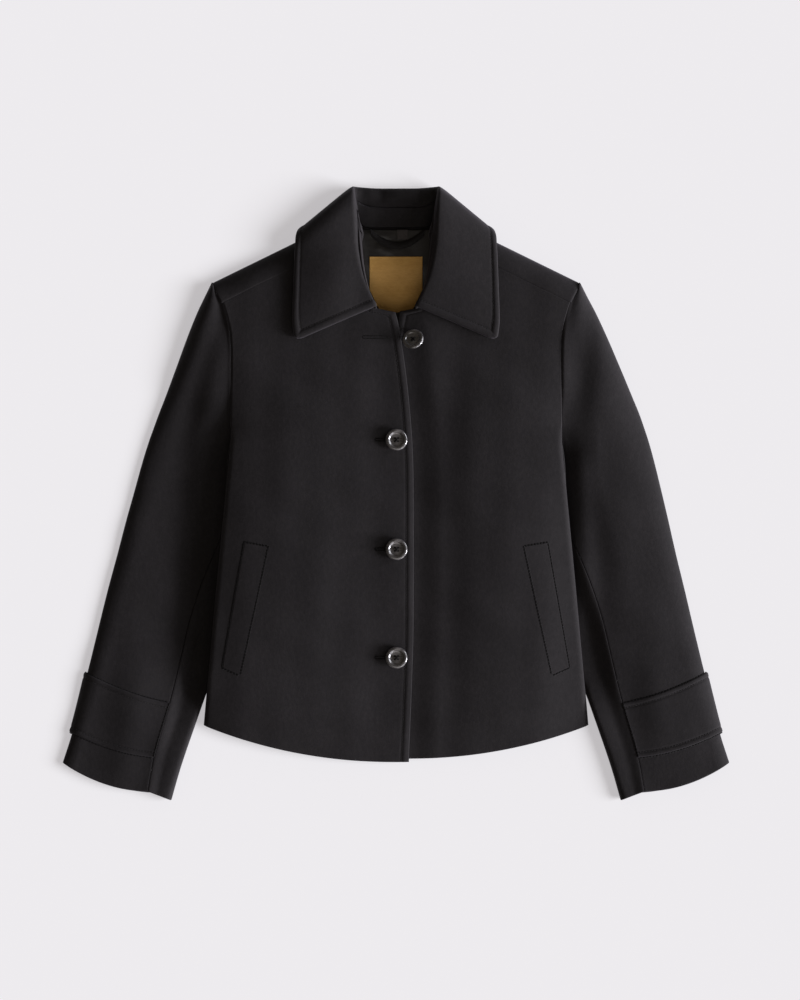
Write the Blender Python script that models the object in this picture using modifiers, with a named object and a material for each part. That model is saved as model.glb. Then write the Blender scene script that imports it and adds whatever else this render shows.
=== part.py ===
"""A short wool coat, laid flat on its back with the front up.

Metres: +X to the right as seen from above, +Y towards the collar, +Z up off the floor.
Left and right in the names are the wearer's, so the wearer's right is at -X.
Every piece that a maker cuts is a thin closed wall on the form of the laid coat.
"""

import math

import bpy
import numpy as np

# Walls and clearances
CLOTH_WALL = 0.0024
COLLAR_WALL = 0.0040
TRIM_WALL = 0.0034
WELT_WALL = 0.0022
LINING_WALL = 0.0010
LABEL_WALL = 0.0008
LOOP_WALL = 0.0016
SEAM_GAP = 0.0003
LINING_LIE = 0.0011
BUTTON_LIE = 0.0009

# Hem, fronts and side rolls
HEM_CENTRE_Y = -0.3085
HEM_HALF = 0.221
HEM_RISE = 0.042
HEM_CURVE = 2.1
UNDER_FRONT_SHORTER = 0.004
BACK_SHORTER = 0.005
ROLLED_SHARE = 0.35
ROLL_LEAST = 0.006
BROAD_CROWN = 0.120
# The buttoned middle lies this much below the fullest line of the fronts, out to there, and the
# places up the coat between which it does
PLACKET_SINK = 0.0035
PLACKET_REACH = 0.115
PLACKET_FOOT, PLACKET_HEAD = (-0.310, -0.220), (0.080, 0.180)
BACK_ROLL = 0.008
ARMHOLE_BLEND = (0.055, 0.085)
OVERLAP_DIP = 0.0030
OVERLAP_REACH = (0.003, 0.034)

# Shoulder line, where the back panel turns over to the front
SHOULDER_NECK = np.array((0.050, 0.320))
SHOULDER_TIP = np.array((0.2095, 0.242))
SHOULDER_FOLD = 0.0125
SHOULDER_UNDER = 0.020
SHOULDER_OVER = 0.025

# Where the back rides up over the tucked sleeves and over the collar that lies under it
TUCK_RAMP = 0.050
TUCK_CLEAR = 0.004
NECK_LIFT = 0.0052
NECK_RAMP = 0.036
NECK_CLEAR = 0.009

# Shares of a front's near side where its edge and its collar notch end, of the back's top where its
# neck ends, of the far sides where the armhole starts, and of the collar at the shoulder seam
EDGE_SHARE = 0.80
NOTCH_SHARE = 0.84
BACK_NECK_SHARE = 0.30
FRONT_UNDERARM, BACK_UNDERARM = 0.676, 0.6075
# Shares where closer columns and rows end or start, and the turned-over shoulder's last row
CLOSE_COLUMNS = 0.24
CLOSE_ROWS, LAST_ROW = 0.80, 0.9995
NECK_SEAM_PLACE = 0.40

# A folded edge's tightest outer radius and the most of a sleeve's width that it takes
FOLD_RADIUS = 0.0034
ROLL_MOST = 0.55
# Shares of a sleeve's girth at its turns and left free at its seams
RUN_END, TIP, FLOOR_START = 0.40, 0.62, 0.80
TOP_SEAM_SHARE, UNDER_SEAM_SHARE = 0.0015, 0.005
SLEEVE_RISE = 0.45
# How much wider the left arm lies than the table, how much narrower the right, and down to where
ARM_FULLER = 0.0035
ARM_FULLER_END = 0.9

# Collar: how far the stand's foot is off the neck seam at the back and in front, between which
# places that changes, and the shares where stand and fall start and end
STAND_RISE_BACK, STAND_RISE_FRONT = 0.0042, 0.0020
STAND_RISE_PLACES = (0.30, 0.50)
STAND_SHARE = 0.5
STAND_SPAN = (0.05, 0.93)
FALL_START = 0.05
COLLAR_BACK_END, COLLAR_TURN_END = 0.28, 0.53

# Buttons
BUTTON_RADIUS = 0.0125
BUTTON_THICK = 0.0048
BUTTON_STEPS = 26
HOLE_RADIUS = 0.0011
HOLE_REACH = 0.0026
BUTTON_X = 0.0006
BUTTON_Y = (0.0615, -0.0638, -0.1880)
UNDONE_BUTTON = (0.0200, 0.1754)
UNDONE_TILT = (math.radians(-26), math.radians(-15), 0)
UNDONE_SINK = 0.0034


def table(columns, *rows):
    """Named columns; the first one is the place along the piece."""
    return dict(zip(columns.split(), np.array(rows, float).T))


# A button's turned profile from the middle of its face round to the middle of its back, as shares
# of its radius and thickness
BUTTON_PROFILE = table(
    "reach height",
    (0.00, 0.62),
    (0.58, 0.62),
    (0.72, 1.00),
    (0.88, 1.00),
    (1.00, 0.66),
    (0.94, 0.20),
    (0.70, 0.00),
    (0.00, 0.00),
)
# Height of the front's outer face up the middle
CROWN = table(
    "y height",
    (-0.3090, 0.0140),
    (-0.2700, 0.0195),
    (-0.2000, 0.0275),
    (-0.0500, 0.0325),
    (0.0800, 0.0312),
    (0.1600, 0.0266),
    (0.2200, 0.0257),
    (0.3100, 0.0255),
)
# Side seam and front armhole: place up the coat, half width and height off the floor
SIDE = table(
    "y x z",
    (-0.2670, 0.2210, 0.0075),
    (-0.2400, 0.2185, 0.0128),
    (-0.2000, 0.2146, 0.0205),
    (-0.1000, 0.2054, 0.0225),
    (0.0000, 0.1957, 0.0230),
    (0.0620, 0.1900, 0.0230),
    (0.0850, 0.1892, 0.0232),
    (0.1120, 0.1888, 0.0236),
    (0.1500, 0.1882, 0.0241),
    (0.1800, 0.1891, 0.0243),
    (0.2040, 0.1938, 0.0243),
    (0.2195, 0.1985, 0.0240),
)
# Side seam and back armhole of the back panel, on to the end of the turned-over shoulder
BACK_SIDE = table(
    "y x z",
    (-0.2620, 0.2205, 0.0069),
    (-0.2400, 0.2185, 0.0121),
    (-0.2000, 0.2146, 0.0198),
    (-0.1000, 0.2054, 0.0219),
    (0.0000, 0.1957, 0.0224),
    (0.0580, 0.1903, 0.0222),
    (0.0750, 0.1855, 0.0110),
    (0.0920, 0.1815, 0.0040),
    (0.1120, 0.1795, 0.0000),
    (0.1500, 0.1815, 0.0000),
    (0.1800, 0.1845, 0.0000),
    (0.2040, 0.1898, 0.0000),
    (0.2240, 0.1972, 0.0000),
    (0.2420, 0.2095, 0.0000),
    (0.2645, 0.2205, 0.0000),
)
# How far the back panel is held up by the sleeve tucked under its side
TUCK = table(
    "y lift",
    (-0.2620, 0.0000),
    (-0.2450, 0.0030),
    (-0.2200, 0.0088),
    (-0.1900, 0.0103),
    (0.0200, 0.0105),
    (0.0600, 0.0103),
    (0.0800, 0.0062),
    (0.1120, 0.0000),
)
# Front edges: the buttonhole side lies on top, the button side runs on underneath
OVER_EDGE = table(
    "y x",
    (-0.3085, 0.0148),
    (-0.2260, 0.0182),
    (-0.1500, 0.0203),
    (-0.0535, 0.0205),
    (0.0155, 0.0203),
    (0.0615, 0.0188),
    (0.1075, 0.0150),
    (0.1420, 0.0112),
    (0.1630, 0.0082),
    (0.1880, 0.0042),
    (0.2020, 0.0010),
    (0.2076, -0.0006),
)
UNDER_EDGE = table(
    "y x",
    (-0.3050, -0.0160),
    (-0.1500, -0.0160),
    (0.0600, -0.0150),
    (0.1500, -0.0070),
    (0.2085, 0.0040),
)
# Neck seam of the fronts, from the collar's end up to the shoulder seam
FRONT_NECK = table(
    "share x y",
    (0.00, 0.0215, 0.2120),
    (0.25, 0.0290, 0.2290),
    (0.50, 0.0345, 0.2500),
    (0.75, 0.0375, 0.2730),
    (1.00, 0.0390, 0.2975),
)
# Neck seam of the back panel, flat, from the centre out to the shoulder seam's end
BACK_NECK = table(
    "share x y",
    (0.00, 0.0000, 0.3050),
    (0.30, 0.0250, 0.3050),
    (0.50, 0.0400, 0.3070),
    (0.62, 0.0470, 0.3120),
    (0.78, 0.0525, 0.3235),
    (1.00, 0.0610, 0.3425),
)
# Outer edge of the collar where it lies under the back
FALL_EDGE = table(
    "x y",
    (0.000, 0.272),
    (0.050, 0.272),
    (0.074, 0.275),
    (0.099, 0.291),
    (0.111, 0.302),
    (0.130, 0.335),
    (0.230, 0.500),
)
# Top sleeve: front seam, outer edge and back seam at places from the shoulder to the cuff, with the
# height of the seam, the crown, the outer edge and the underside, and how far the section bows down
SLEEVE = table(
    "place seam_x seam_y seam_z outer_x outer_y back_x back_y crown edge rest bow",
    (0.00, 0.2086, 0.2372, 0.0200, 0.2125, 0.2400, 0.2075, 0.2365, 0.0215, 0.0115, 0.0000, 0.000),
    (0.05, 0.2014, 0.2240, 0.0238, 0.2195, 0.2260, 0.1984, 0.2240, 0.0250, 0.0120, 0.0000, 0.000),
    (0.12, 0.1946, 0.2040, 0.0243, 0.2290, 0.2070, 0.1911, 0.2040, 0.0262, 0.0125, 0.0000, 0.000),
    (0.20, 0.1901, 0.1800, 0.0244, 0.2415, 0.1780, 0.1860, 0.1800, 0.0268, 0.0125, 0.0000, 0.000),
    (0.29, 0.1891, 0.1500, 0.0240, 0.2550, 0.1440, 0.1829, 0.1500, 0.0262, 0.0125, 0.0000, 0.000),
    (0.38, 0.1893, 0.1120, 0.0228, 0.2685, 0.1100, 0.1809, 0.1120, 0.0245, 0.0118, 0.0000, 0.000),
    (0.45, 0.1897, 0.0850, 0.0203, 0.2765, 0.0900, 0.1807, 0.0850, 0.0228, 0.0112, 0.0000, 0.000),
    (0.50, 0.1900, 0.0640, 0.0150, 0.2822, 0.0740, 0.1800, 0.0640, 0.0215, 0.0107, 0.0000, 0.000),
    (0.54, 0.1872, 0.0420, 0.0100, 0.2870, 0.0600, 0.1780, 0.0420, 0.0206, 0.0103, 0.0000, 0.000),
    (0.58, 0.1850, 0.0150, 0.0095, 0.2930, 0.0400, 0.1760, 0.0150, 0.0198, 0.0099, 0.0000, 0.000),
    (0.64, 0.1905, -0.0250, 0.0095, 0.3035, 0.0000, 0.1800, -0.0250, 0.0188, 0.0094, 0.0000, 0.000),
    (0.69, 0.2020, -0.0530, 0.0115, 0.3105, -0.0270, 0.1900, -0.0530, 0.0180, 0.0091, 0.0000, 0.000),
    (0.76, 0.2230, -0.1020, 0.0150, 0.3215, -0.0720, 0.2080, -0.1020, 0.0173, 0.0088, 0.0000, 0.001),
    (0.82, 0.2370, -0.1450, 0.0158, 0.3320, -0.1130, 0.2230, -0.1450, 0.0169, 0.0086, 0.0000, 0.002),
    (0.88, 0.2480, -0.1915, 0.0156, 0.3445, -0.1650, 0.2360, -0.1915, 0.0169, 0.0088, 0.0010, 0.003),
    (0.93, 0.2600, -0.2400, 0.0158, 0.3545, -0.2060, 0.2490, -0.2400, 0.0178, 0.0100, 0.0037, 0.004),
    (0.97, 0.2780, -0.3030, 0.0150, 0.3720, -0.2750, 0.2680, -0.3030, 0.0168, 0.0098, 0.0037, 0.005),
    (1.00, 0.2850, -0.3420, 0.0140, 0.3830, -0.3095, 0.2760, -0.3440, 0.0160, 0.0085, 0.0015, 0.008),
)
# Inner fold of the under sleeve: its line, and its height where it is pressed under the body
SLEEVE_INNER = table(
    "place x y height",
    (0.54, 0.1715, 0.0390, 0.0088),
    (0.58, 0.1680, 0.0110, 0.0088),
    (0.64, 0.1710, -0.0316, 0.0088),
    (0.69, 0.1750, -0.0650, 0.0089),
    (0.76, 0.1840, -0.1170, 0.0090),
    (0.82, 0.1955, -0.1600, 0.0091),
    (0.88, 0.2090, -0.2050, 0.0090),
    (0.93, 0.2260, -0.2530, 0.0118),
    (0.97, 0.2470, -0.3145, 0.0122),
    (1.00, 0.2580, -0.3525, 0.0110),
)
# Collar from the centre back round to its front end: neck side of the roll, fall side, outer edge
COLLAR = table(
    "place neck_x neck_y neck_z fall_x fall_y fall_z edge_x edge_y edge_z",
    (0.00, 0.0000, 0.3505, 0.0130, 0.0000, 0.3505, 0.0000, 0.0000, 0.2720, 0.0000),
    (0.18, 0.0280, 0.3510, 0.0132, 0.0280, 0.3510, 0.0000, 0.0360, 0.2720, 0.0000),
    (0.28, 0.0420, 0.3518, 0.0145, 0.0430, 0.3522, 0.0010, 0.0740, 0.2760, 0.0000),
    (0.34, 0.0465, 0.3520, 0.0190, 0.0490, 0.3530, 0.0080, 0.0990, 0.2925, 0.0010),
    (0.40, 0.0475, 0.3500, 0.0260, 0.0505, 0.3530, 0.0200, 0.1110, 0.3020, 0.0140),
    (0.46, 0.0475, 0.3450, 0.0320, 0.0505, 0.3490, 0.0310, 0.1150, 0.2970, 0.0240),
    (0.53, 0.0470, 0.3350, 0.0360, 0.0500, 0.3380, 0.0370, 0.1160, 0.2840, 0.0292),
    (0.64, 0.0460, 0.3140, 0.0380, 0.0490, 0.3150, 0.0400, 0.1170, 0.2620, 0.0302),
    (0.76, 0.0440, 0.2840, 0.0370, 0.0470, 0.2850, 0.0395, 0.1180, 0.2320, 0.0304),
    (0.88, 0.0365, 0.2480, 0.0350, 0.0390, 0.2490, 0.0375, 0.1190, 0.2000, 0.0304),
    (1.00, 0.0215, 0.2135, 0.0305, 0.0240, 0.2135, 0.0325, 0.1160, 0.1740, 0.0304),
)
# Pocket welts: the corners of the left one, from the top inner one round; the right is its mirror
WELT_CORNERS = ((0.1460, -0.0604), (0.1736, -0.0558), (0.1990, -0.1996), (0.1783, -0.2087))
TAB_PLACES = (0.930, 0.943, 0.957, 0.970)

# Inside the neck
LINING_HALF, LINING_FOOT_HALF = 0.046, 0.040
LINING_Y = (0.190, 0.3025)
LABEL_HALF = 0.0305
LABEL_FOOT_HALF = 0.0180
LABEL_Y = (0.2080, 0.2720)
LABEL_CHAMFER_Y = 0.2340
LOOP_CENTRE_X = 0.0015
LOOP_HALF = 0.0310
LOOP_Y = (0.2845, 0.3000)
LOOP_BAND = 0.0092
TAG_X = (0.0012, 0.0138)
TAG_Y = (0.2915, 0.3030)


def follow(rows, column, place):
    """A smooth curve through one column of a table, which never runs past its rows."""
    places = next(iter(rows.values()))
    values = rows[column]
    steps = np.diff(values) / np.diff(places)
    before, after = np.append(steps[0], steps), np.append(steps, steps[-1])
    most = 3 * np.minimum(np.abs(before), np.abs(after)) * (before * after > 0)
    slopes = np.clip(np.gradient(values, places), -most, most)
    place = np.clip(place, places[0], places[-1])
    k = np.clip(np.searchsorted(places, place, side="right") - 1, 0, len(places) - 2)
    span = places[k + 1] - places[k]
    t = (place - places[k]) / span
    rest = 1 - t
    start = (1 + 2 * t) * rest**2 * values[k] + t * rest**2 * span * slopes[k]
    return start + t**2 * (3 - 2 * t) * values[k + 1] - t**2 * rest * span * slopes[k + 1]


def mix(start, end, share):
    return start + (end - start) * share


def ease(low, high, value):
    """0 below low, 1 above high and a soft step between them."""
    t = np.clip((value - low) / (high - low), 0, 1)
    return t * t * (3 - 2 * t)


def roll(share):
    """Height of a rolled edge: 0 at the edge, 1 where it has turned flat."""
    return np.sqrt(1 - (1 - np.clip(share, 0, 1)) ** 2)


def hem_y(x):
    return HEM_CENTRE_Y + HEM_RISE * np.clip(np.abs(x) / HEM_HALF, 0, 1) ** HEM_CURVE


def front_height(x, y):
    """Outer face of the fronts above the floor."""
    edge = follow(SIDE, "z", y)
    inset = np.maximum(follow(SIDE, "x", y) - np.abs(x), 0)
    rise = follow(CROWN, "height", y) - edge
    rolled = ROLLED_SHARE * rise * (1 - ease(*ARMHOLE_BLEND, y))
    width = np.maximum(rolled**2 / FOLD_RADIUS, ROLL_LEAST)
    broad = 1 - (1 - np.clip(inset / BROAD_CROWN, 0, 1)) ** 3
    sunk = ease(*PLACKET_FOOT, y) * (1 - ease(*PLACKET_HEAD, y)) * (1 - ease(0, PLACKET_REACH, np.abs(x)))
    return edge + rolled * roll(inset / width) + (rise - rolled) * broad - PLACKET_SINK * sunk


INNER_BY_Y = {key: SLEEVE_INNER[key][::-1] for key in ("y", "x")}


def back_height(x, y):
    """Outer face of the back above the floor: flat, but for the sleeves and collar under it."""
    across = np.abs(x)
    inner = follow(INNER_BY_Y, "x", y)
    lift = follow(TUCK, "lift", y) * ease(inner - TUCK_RAMP, inner - TUCK_CLEAR, across)
    fall = follow(FALL_EDGE, "y", across)
    lift = lift + NECK_LIFT * ease(fall - NECK_RAMP, fall - NECK_CLEAR, y)
    edge = np.maximum(follow(BACK_SIDE, "z", y), lift)
    inset = follow(BACK_SIDE, "x", y) - across
    return lift + (edge - lift) * (1 - roll(inset / BACK_ROLL))


def patch(bottom, top, near, far, u, v):
    """The sheet between four outline curves: bottom and top along u, near and far along v."""
    sheet = []
    ends = np.zeros(1), np.ones(1)
    for k in range(2):
        low, high = bottom(u)[k], top(u)[k]
        start, end = near(v)[k], far(v)[k]
        corners = [bottom(ends[0])[k], bottom(ends[1])[k], top(ends[0])[k], top(ends[1])[k]]
        flat = mix(mix(corners[0], corners[1], u), mix(corners[2], corners[3], u), v)
        sheet.append(mix(low, high, v) + mix(start, end, u) - flat)
    return sheet


def stretches(u, *parts):
    """One outline from several curves, each with the share of u where it ends."""
    begin = 0.0
    total = [0.0, 0.0]
    for finish, curve in parts:
        place = np.clip((u - begin) / (finish - begin), 0, 1)
        here, origin = curve(place), curve(np.zeros(1))
        for k in range(2):
            total[k] = total[k] + here[k] - (origin[k] if begin else 0.0)
        begin = finish
    return total


def line(start, end):
    return lambda share: (mix(start[0], end[0], share), mix(start[1], end[1], share))


SHOULDER_RUN = (SHOULDER_TIP - SHOULDER_NECK) / np.linalg.norm(SHOULDER_TIP - SHOULDER_NECK)
SHOULDER_OUT = np.array((-SHOULDER_RUN[1], SHOULDER_RUN[0]))


def front_point(edge, shorter, dip, u, v):
    """Outer face of a front at +X; edge is its front edge's table."""
    bottom_x = edge["x"][0]

    def bottom(share):
        x = mix(bottom_x, HEM_HALF, share)
        return x, hem_y(x) + shorter * (1 - np.abs(x) / HEM_HALF)

    def edge_line(share):
        y = mix(bottom(np.zeros(1))[1], edge["y"][-1], share)
        return follow(edge, "x", y), y

    def near(share):
        notch = line((edge["x"][-1], edge["y"][-1]), (FRONT_NECK["x"][0], FRONT_NECK["y"][0]))
        neck = lambda t: (follow(FRONT_NECK, "x", t), follow(FRONT_NECK, "y", t))
        return stretches(share, (EDGE_SHARE, edge_line), (NOTCH_SHARE, notch), (1.0, neck))

    seam_start = SHOULDER_NECK - SHOULDER_OVER * SHOULDER_OUT
    seam_end = SHOULDER_TIP - SHOULDER_OVER * SHOULDER_OUT

    def far(share):
        y = mix(bottom(np.ones(1))[1], SIDE["y"][-1], share)
        return follow(SIDE, "x", y), y

    x, y = patch(bottom, line(seam_start, seam_end), near, far, u, v)
    z = front_height(x, y)
    if dip:
        overlap = follow(OVER_EDGE, "x", y)
        z = z - OVERLAP_DIP * (1 - ease(overlap + OVERLAP_REACH[0], overlap + OVERLAP_REACH[1], x))
    return np.stack((x, y, z), -1)


MIRRORED_OVER_EDGE = {"y": OVER_EDGE["y"], "x": -OVER_EDGE["x"]}


def front_left_point(u, v):
    return front_point(UNDER_EDGE, UNDER_FRONT_SHORTER, True, u, v)


def front_right_point(u, v):
    return front_point(MIRRORED_OVER_EDGE, 0.0, False, u, v) * (-1, 1, 1)


def turned_over(x, y):
    """Where a point of the flat back panel lies: on the floor, or turned over the shoulder."""
    beyond = (x - SHOULDER_NECK[0]) * SHOULDER_OUT[0] + (y - SHOULDER_NECK[1]) * SHOULDER_OUT[1]
    lower = np.clip(1 + beyond / SHOULDER_UNDER, 0, 1) * math.pi / 2
    upper = np.clip(beyond / SHOULDER_OVER, 0, 1) * math.pi / 2
    below = beyond < 0
    inset = np.where(below, SHOULDER_UNDER * (1 - np.sin(lower)), SHOULDER_OVER * (1 - np.cos(upper)))
    inset = np.where(beyond < -SHOULDER_UNDER, -beyond, inset)
    plan_x = x - (beyond + inset) * SHOULDER_OUT[0]
    plan_y = y - (beyond + inset) * SHOULDER_OUT[1]
    floor = back_height(plan_x, plan_y)
    rising = floor + (SHOULDER_FOLD - floor) * (1 - np.cos(lower))
    over = SHOULDER_FOLD + (front_height(plan_x, plan_y) - SHOULDER_FOLD) * np.sin(upper)
    return np.stack((plan_x, plan_y, np.where(below, rising, over)), -1)


def back_point(u, v):
    """Outer face of the back; u runs from the left side of the sheet at -1 to the right at 1."""
    half = np.abs(u)
    side_end = BACK_SIDE["y"][-1]

    def bottom(share):
        x = mix(0.0, BACK_SIDE["x"][0], share)
        return x, hem_y(x) + BACK_SHORTER

    def top(share):
        neck = lambda t: (follow(BACK_NECK, "x", t), follow(BACK_NECK, "y", t))
        seam_start = SHOULDER_NECK + SHOULDER_OVER * SHOULDER_OUT
        seam_end = SHOULDER_TIP + SHOULDER_OVER * SHOULDER_OUT
        return stretches(share, (BACK_NECK_SHARE, neck), (1.0, line(seam_start, seam_end)))

    def near(share):
        return 0.0 * share, mix(HEM_CENTRE_Y + BACK_SHORTER, BACK_NECK["y"][0], share)

    def far(share):
        y = mix(bottom(np.ones(1))[1], side_end, share)
        return follow(BACK_SIDE, "x", y), y

    x, y = patch(bottom, top, near, far, half, v)
    points = turned_over(x, y)
    points[..., 0] *= np.sign(u)
    return points


def girth(seam, seam_z, tip, back, crown, edge, rest, bow, w):
    """A sleeve's section from the front seam at w 0, round its folded edge, to the back seam at w 1."""
    length = np.hypot(tip[0] - seam[0], tip[1] - seam[1])
    under = np.hypot(tip[0] - back[0], tip[1] - back[1])
    over_roll = np.minimum((crown - edge) ** 2 / FOLD_RADIUS, ROLL_MOST * length)
    under_roll = np.minimum((edge - rest) ** 2 / FOLD_RADIUS, ROLL_MOST * under)
    run = np.clip(w / RUN_END, 0, 1)
    fold = np.clip((TIP - w) / (TIP - RUN_END), 0, 1) * math.pi / 2
    tuck = np.clip((w - TIP) / (FLOOR_START - TIP), 0, 1) * math.pi / 2
    floor = np.clip((w - FLOOR_START) / (1 - FLOOR_START), 0, 1)
    inset = mix(length, over_roll, run) * (w < RUN_END)
    inset = np.where(w >= RUN_END, over_roll * (1 - np.cos(fold)), inset)
    share = 1 - inset / length
    height = seam_z + (crown - seam_z) * ease(0, SLEEVE_RISE, share)
    top = edge + (height - edge) * np.sin(fold)
    behind = np.where(w > FLOOR_START, mix(under_roll, under, floor), under_roll * (1 - np.cos(tuck)))
    back_share = 1 - behind / under
    bottom = edge - (edge - rest) * np.sin(tuck)
    upper = w < TIP
    x = np.where(upper, mix(seam[0], tip[0], share), mix(back[0], tip[0], back_share))
    y = np.where(upper, mix(seam[1], tip[1], share), mix(back[1], tip[1], back_share))
    reach = np.where(upper, share, back_share)
    y = y - bow * 4 * reach * (1 - reach)
    return np.stack((x, y, np.where(upper, top, bottom)), -1)


def sleeve_top_point(w, place, fuller=0.0):
    """Outer face of the top sleeve at +X; w runs round it, place from the shoulder to the cuff."""
    at = {name: follow(SLEEVE, name, place) for name in SLEEVE}
    outer_x = at["outer_x"] + fuller * np.sin(math.pi * np.clip(place / ARM_FULLER_END, 0, 1)) ** 2
    return girth(
        (at["seam_x"], at["seam_y"]),
        at["seam_z"],
        (outer_x, at["outer_y"]),
        (at["back_x"], at["back_y"]),
        at["crown"],
        at["edge"],
        at["rest"],
        at["bow"],
        w,
    )


def sleeve_under_point(w, place):
    """Outer face of the under sleeve at +X, from the front seam round the inner fold to the back seam."""
    at = {name: follow(SLEEVE, name, place) for name in SLEEVE}
    height = follow(SLEEVE_INNER, "height", place)
    tip = (follow(SLEEVE_INNER, "x", place), follow(SLEEVE_INNER, "y", place))
    edge = (height + at["rest"]) / 2
    return girth(
        (at["seam_x"], at["seam_y"]),
        at["seam_z"],
        tip,
        (at["back_x"], at["back_y"]),
        height,
        edge,
        at["rest"],
        0.0,
        w,
    )


def neck_seam(place):
    """The neck seam from the centre back at 0 to the collar's front end at 1, on the body's outer face."""
    back_share = np.clip(place / NECK_SEAM_PLACE, 0, 1) * BACK_NECK_SHARE
    front_share = np.clip((place - NECK_SEAM_PLACE) / (1 - NECK_SEAM_PLACE), 0, 1)
    behind = back_point(np.maximum(back_share, 1e-6), np.ones_like(place))
    down = mix(1.0, NOTCH_SHARE, front_share)
    ahead = front_point(MIRRORED_OVER_EDGE, 0.0, False, np.zeros_like(place), down)
    return np.where((place < NECK_SEAM_PLACE)[..., None], behind, ahead)


def collar_row(name, place):
    return np.stack([follow(COLLAR, f"{name}_{axis}", place) for axis in "xyz"], -1)


def stand_line(place, share):
    """The collar stand's neck-side face, from the neck seam at share 0 to the fall's seam at 1."""
    rise = mix(STAND_RISE_BACK, STAND_RISE_FRONT, ease(*STAND_RISE_PLACES, place))
    seam = neck_seam(place)
    seam[..., 2] += rise
    return mix(seam, collar_row("neck", place), share[..., None] * STAND_SHARE)


def bend(start, control, end, t):
    t = t[..., None]
    return start * (1 - t) ** 2 + control * 2 * t * (1 - t) + end * t**2


def collar_fall_point(t, along):
    """Upper face of the fall: from the stand's seam at t 0, over the roll, to the outer edge at t 1."""
    place = np.abs(along)
    seam = stand_line(place, np.ones_like(place))
    neck, fall, edge = (collar_row(name, place) for name in ("neck", "fall", "edge"))
    top, middle = (neck + fall) / 2, mix(fall, edge, 0.5)
    leg = (fall + middle) / 2
    first = bend(seam, neck, top, np.clip(t * 3, 0, 1))
    second = bend(top, fall, leg, np.clip(t * 3 - 1, 0, 1))
    third = bend(leg, middle, edge, np.clip(t * 3 - 2, 0, 1))
    points = np.where((t < 2 / 3)[..., None], second, third)
    points = np.where((t < 1 / 3)[..., None], first, points)
    return points * np.stack((np.where(along < 0, -1.0, 1.0), np.ones_like(t), np.ones_like(t)), -1)


def collar_stand_point(share, along):
    points = stand_line(np.abs(along), share)
    return points * np.stack((np.where(along < 0, -1.0, 1.0), np.ones_like(share), np.ones_like(share)), -1)


def facing(surface, u, v, limits):
    """Unit normals of a surface, from small steps kept inside its limits."""
    (u_low, u_high), (v_low, v_high) = limits
    step = 2e-4
    along_u = surface(np.minimum(u + step, u_high), v) - surface(np.maximum(u - step, u_low), v)
    along_v = surface(u, np.minimum(v + step, v_high)) - surface(u, np.maximum(v - step, v_low))
    normal = np.cross(along_u, along_v)
    return normal / np.linalg.norm(normal, axis=-1, keepdims=True)


def raised(surface, limits, by, sign):
    """The same surface, moved out along its normals."""
    return lambda u, v: surface(u, v) + sign * by * facing(surface, u, v, limits)


COLLECTION = bpy.data.collections.new("short_coat")


def finish(name, colour, roughness):
    material = bpy.data.materials.new(name)
    material.use_nodes = True
    shader = material.node_tree.nodes["Principled BSDF"]
    shader.inputs["Base Color"].default_value = (*colour, 1.0)
    shader.inputs["Roughness"].default_value = roughness
    return material


def place_mesh(name, mesh, material):
    piece = bpy.data.objects.new(name, mesh)
    if not mesh.materials:
        mesh.materials.append(material)
    COLLECTION.objects.link(piece)
    return piece


def panel(name, surface, across, along, wall, material, sign=1):
    """A closed wall behind a surface's outer face, sampled at across and along; sign -1 turns it over."""
    u, v = np.meshgrid(across, along, indexing="ij")
    limits = (across[0], across[-1]), (along[0], along[-1])
    outer = surface(u, v)
    inner = outer - sign * wall * facing(surface, u, v, limits)
    columns, rows = u.shape
    points = np.concatenate((outer.reshape(-1, 3), inner.reshape(-1, 3)))
    index = np.arange(columns * rows).reshape(columns, rows)
    back = index + columns * rows
    faces = []
    for i in range(columns - 1):
        for j in range(rows - 1):
            quad = index[i, j], index[i + 1, j], index[i + 1, j + 1], index[i, j + 1]
            faces.append(quad)
            faces.append(tuple(corner + columns * rows for corner in reversed(quad)))
    border = [(i, 0) for i in range(columns)]
    border += [(columns - 1, j) for j in range(1, rows)]
    border += [(i, rows - 1) for i in range(columns - 2, -1, -1)]
    border += [(0, j) for j in range(rows - 2, 0, -1)]
    for here, there in zip(border, border[1:] + border[:1]):
        faces.append((index[there], index[here], back[here], back[there]))
    if sign < 0:
        faces = [tuple(reversed(face)) for face in faces]
    mesh = bpy.data.meshes.new(name)
    mesh.from_pydata(points.tolist(), [], [tuple(int(corner) for corner in face) for face in faces])
    mesh.shade_smooth()
    mesh.set_sharp_from_angle(angle=math.radians(40))
    return place_mesh(name, mesh, material)


def towards_end(count, start=0.0, end=1.0, power=1.7):
    """Places that crowd towards the end, where an edge rolls."""
    share = np.linspace(0, 1, count)
    return start + (end - start) * (1 - (1 - share) ** power)


def mirror(surface):
    return lambda u, v: surface(u, v) * (-1, 1, 1)


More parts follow.
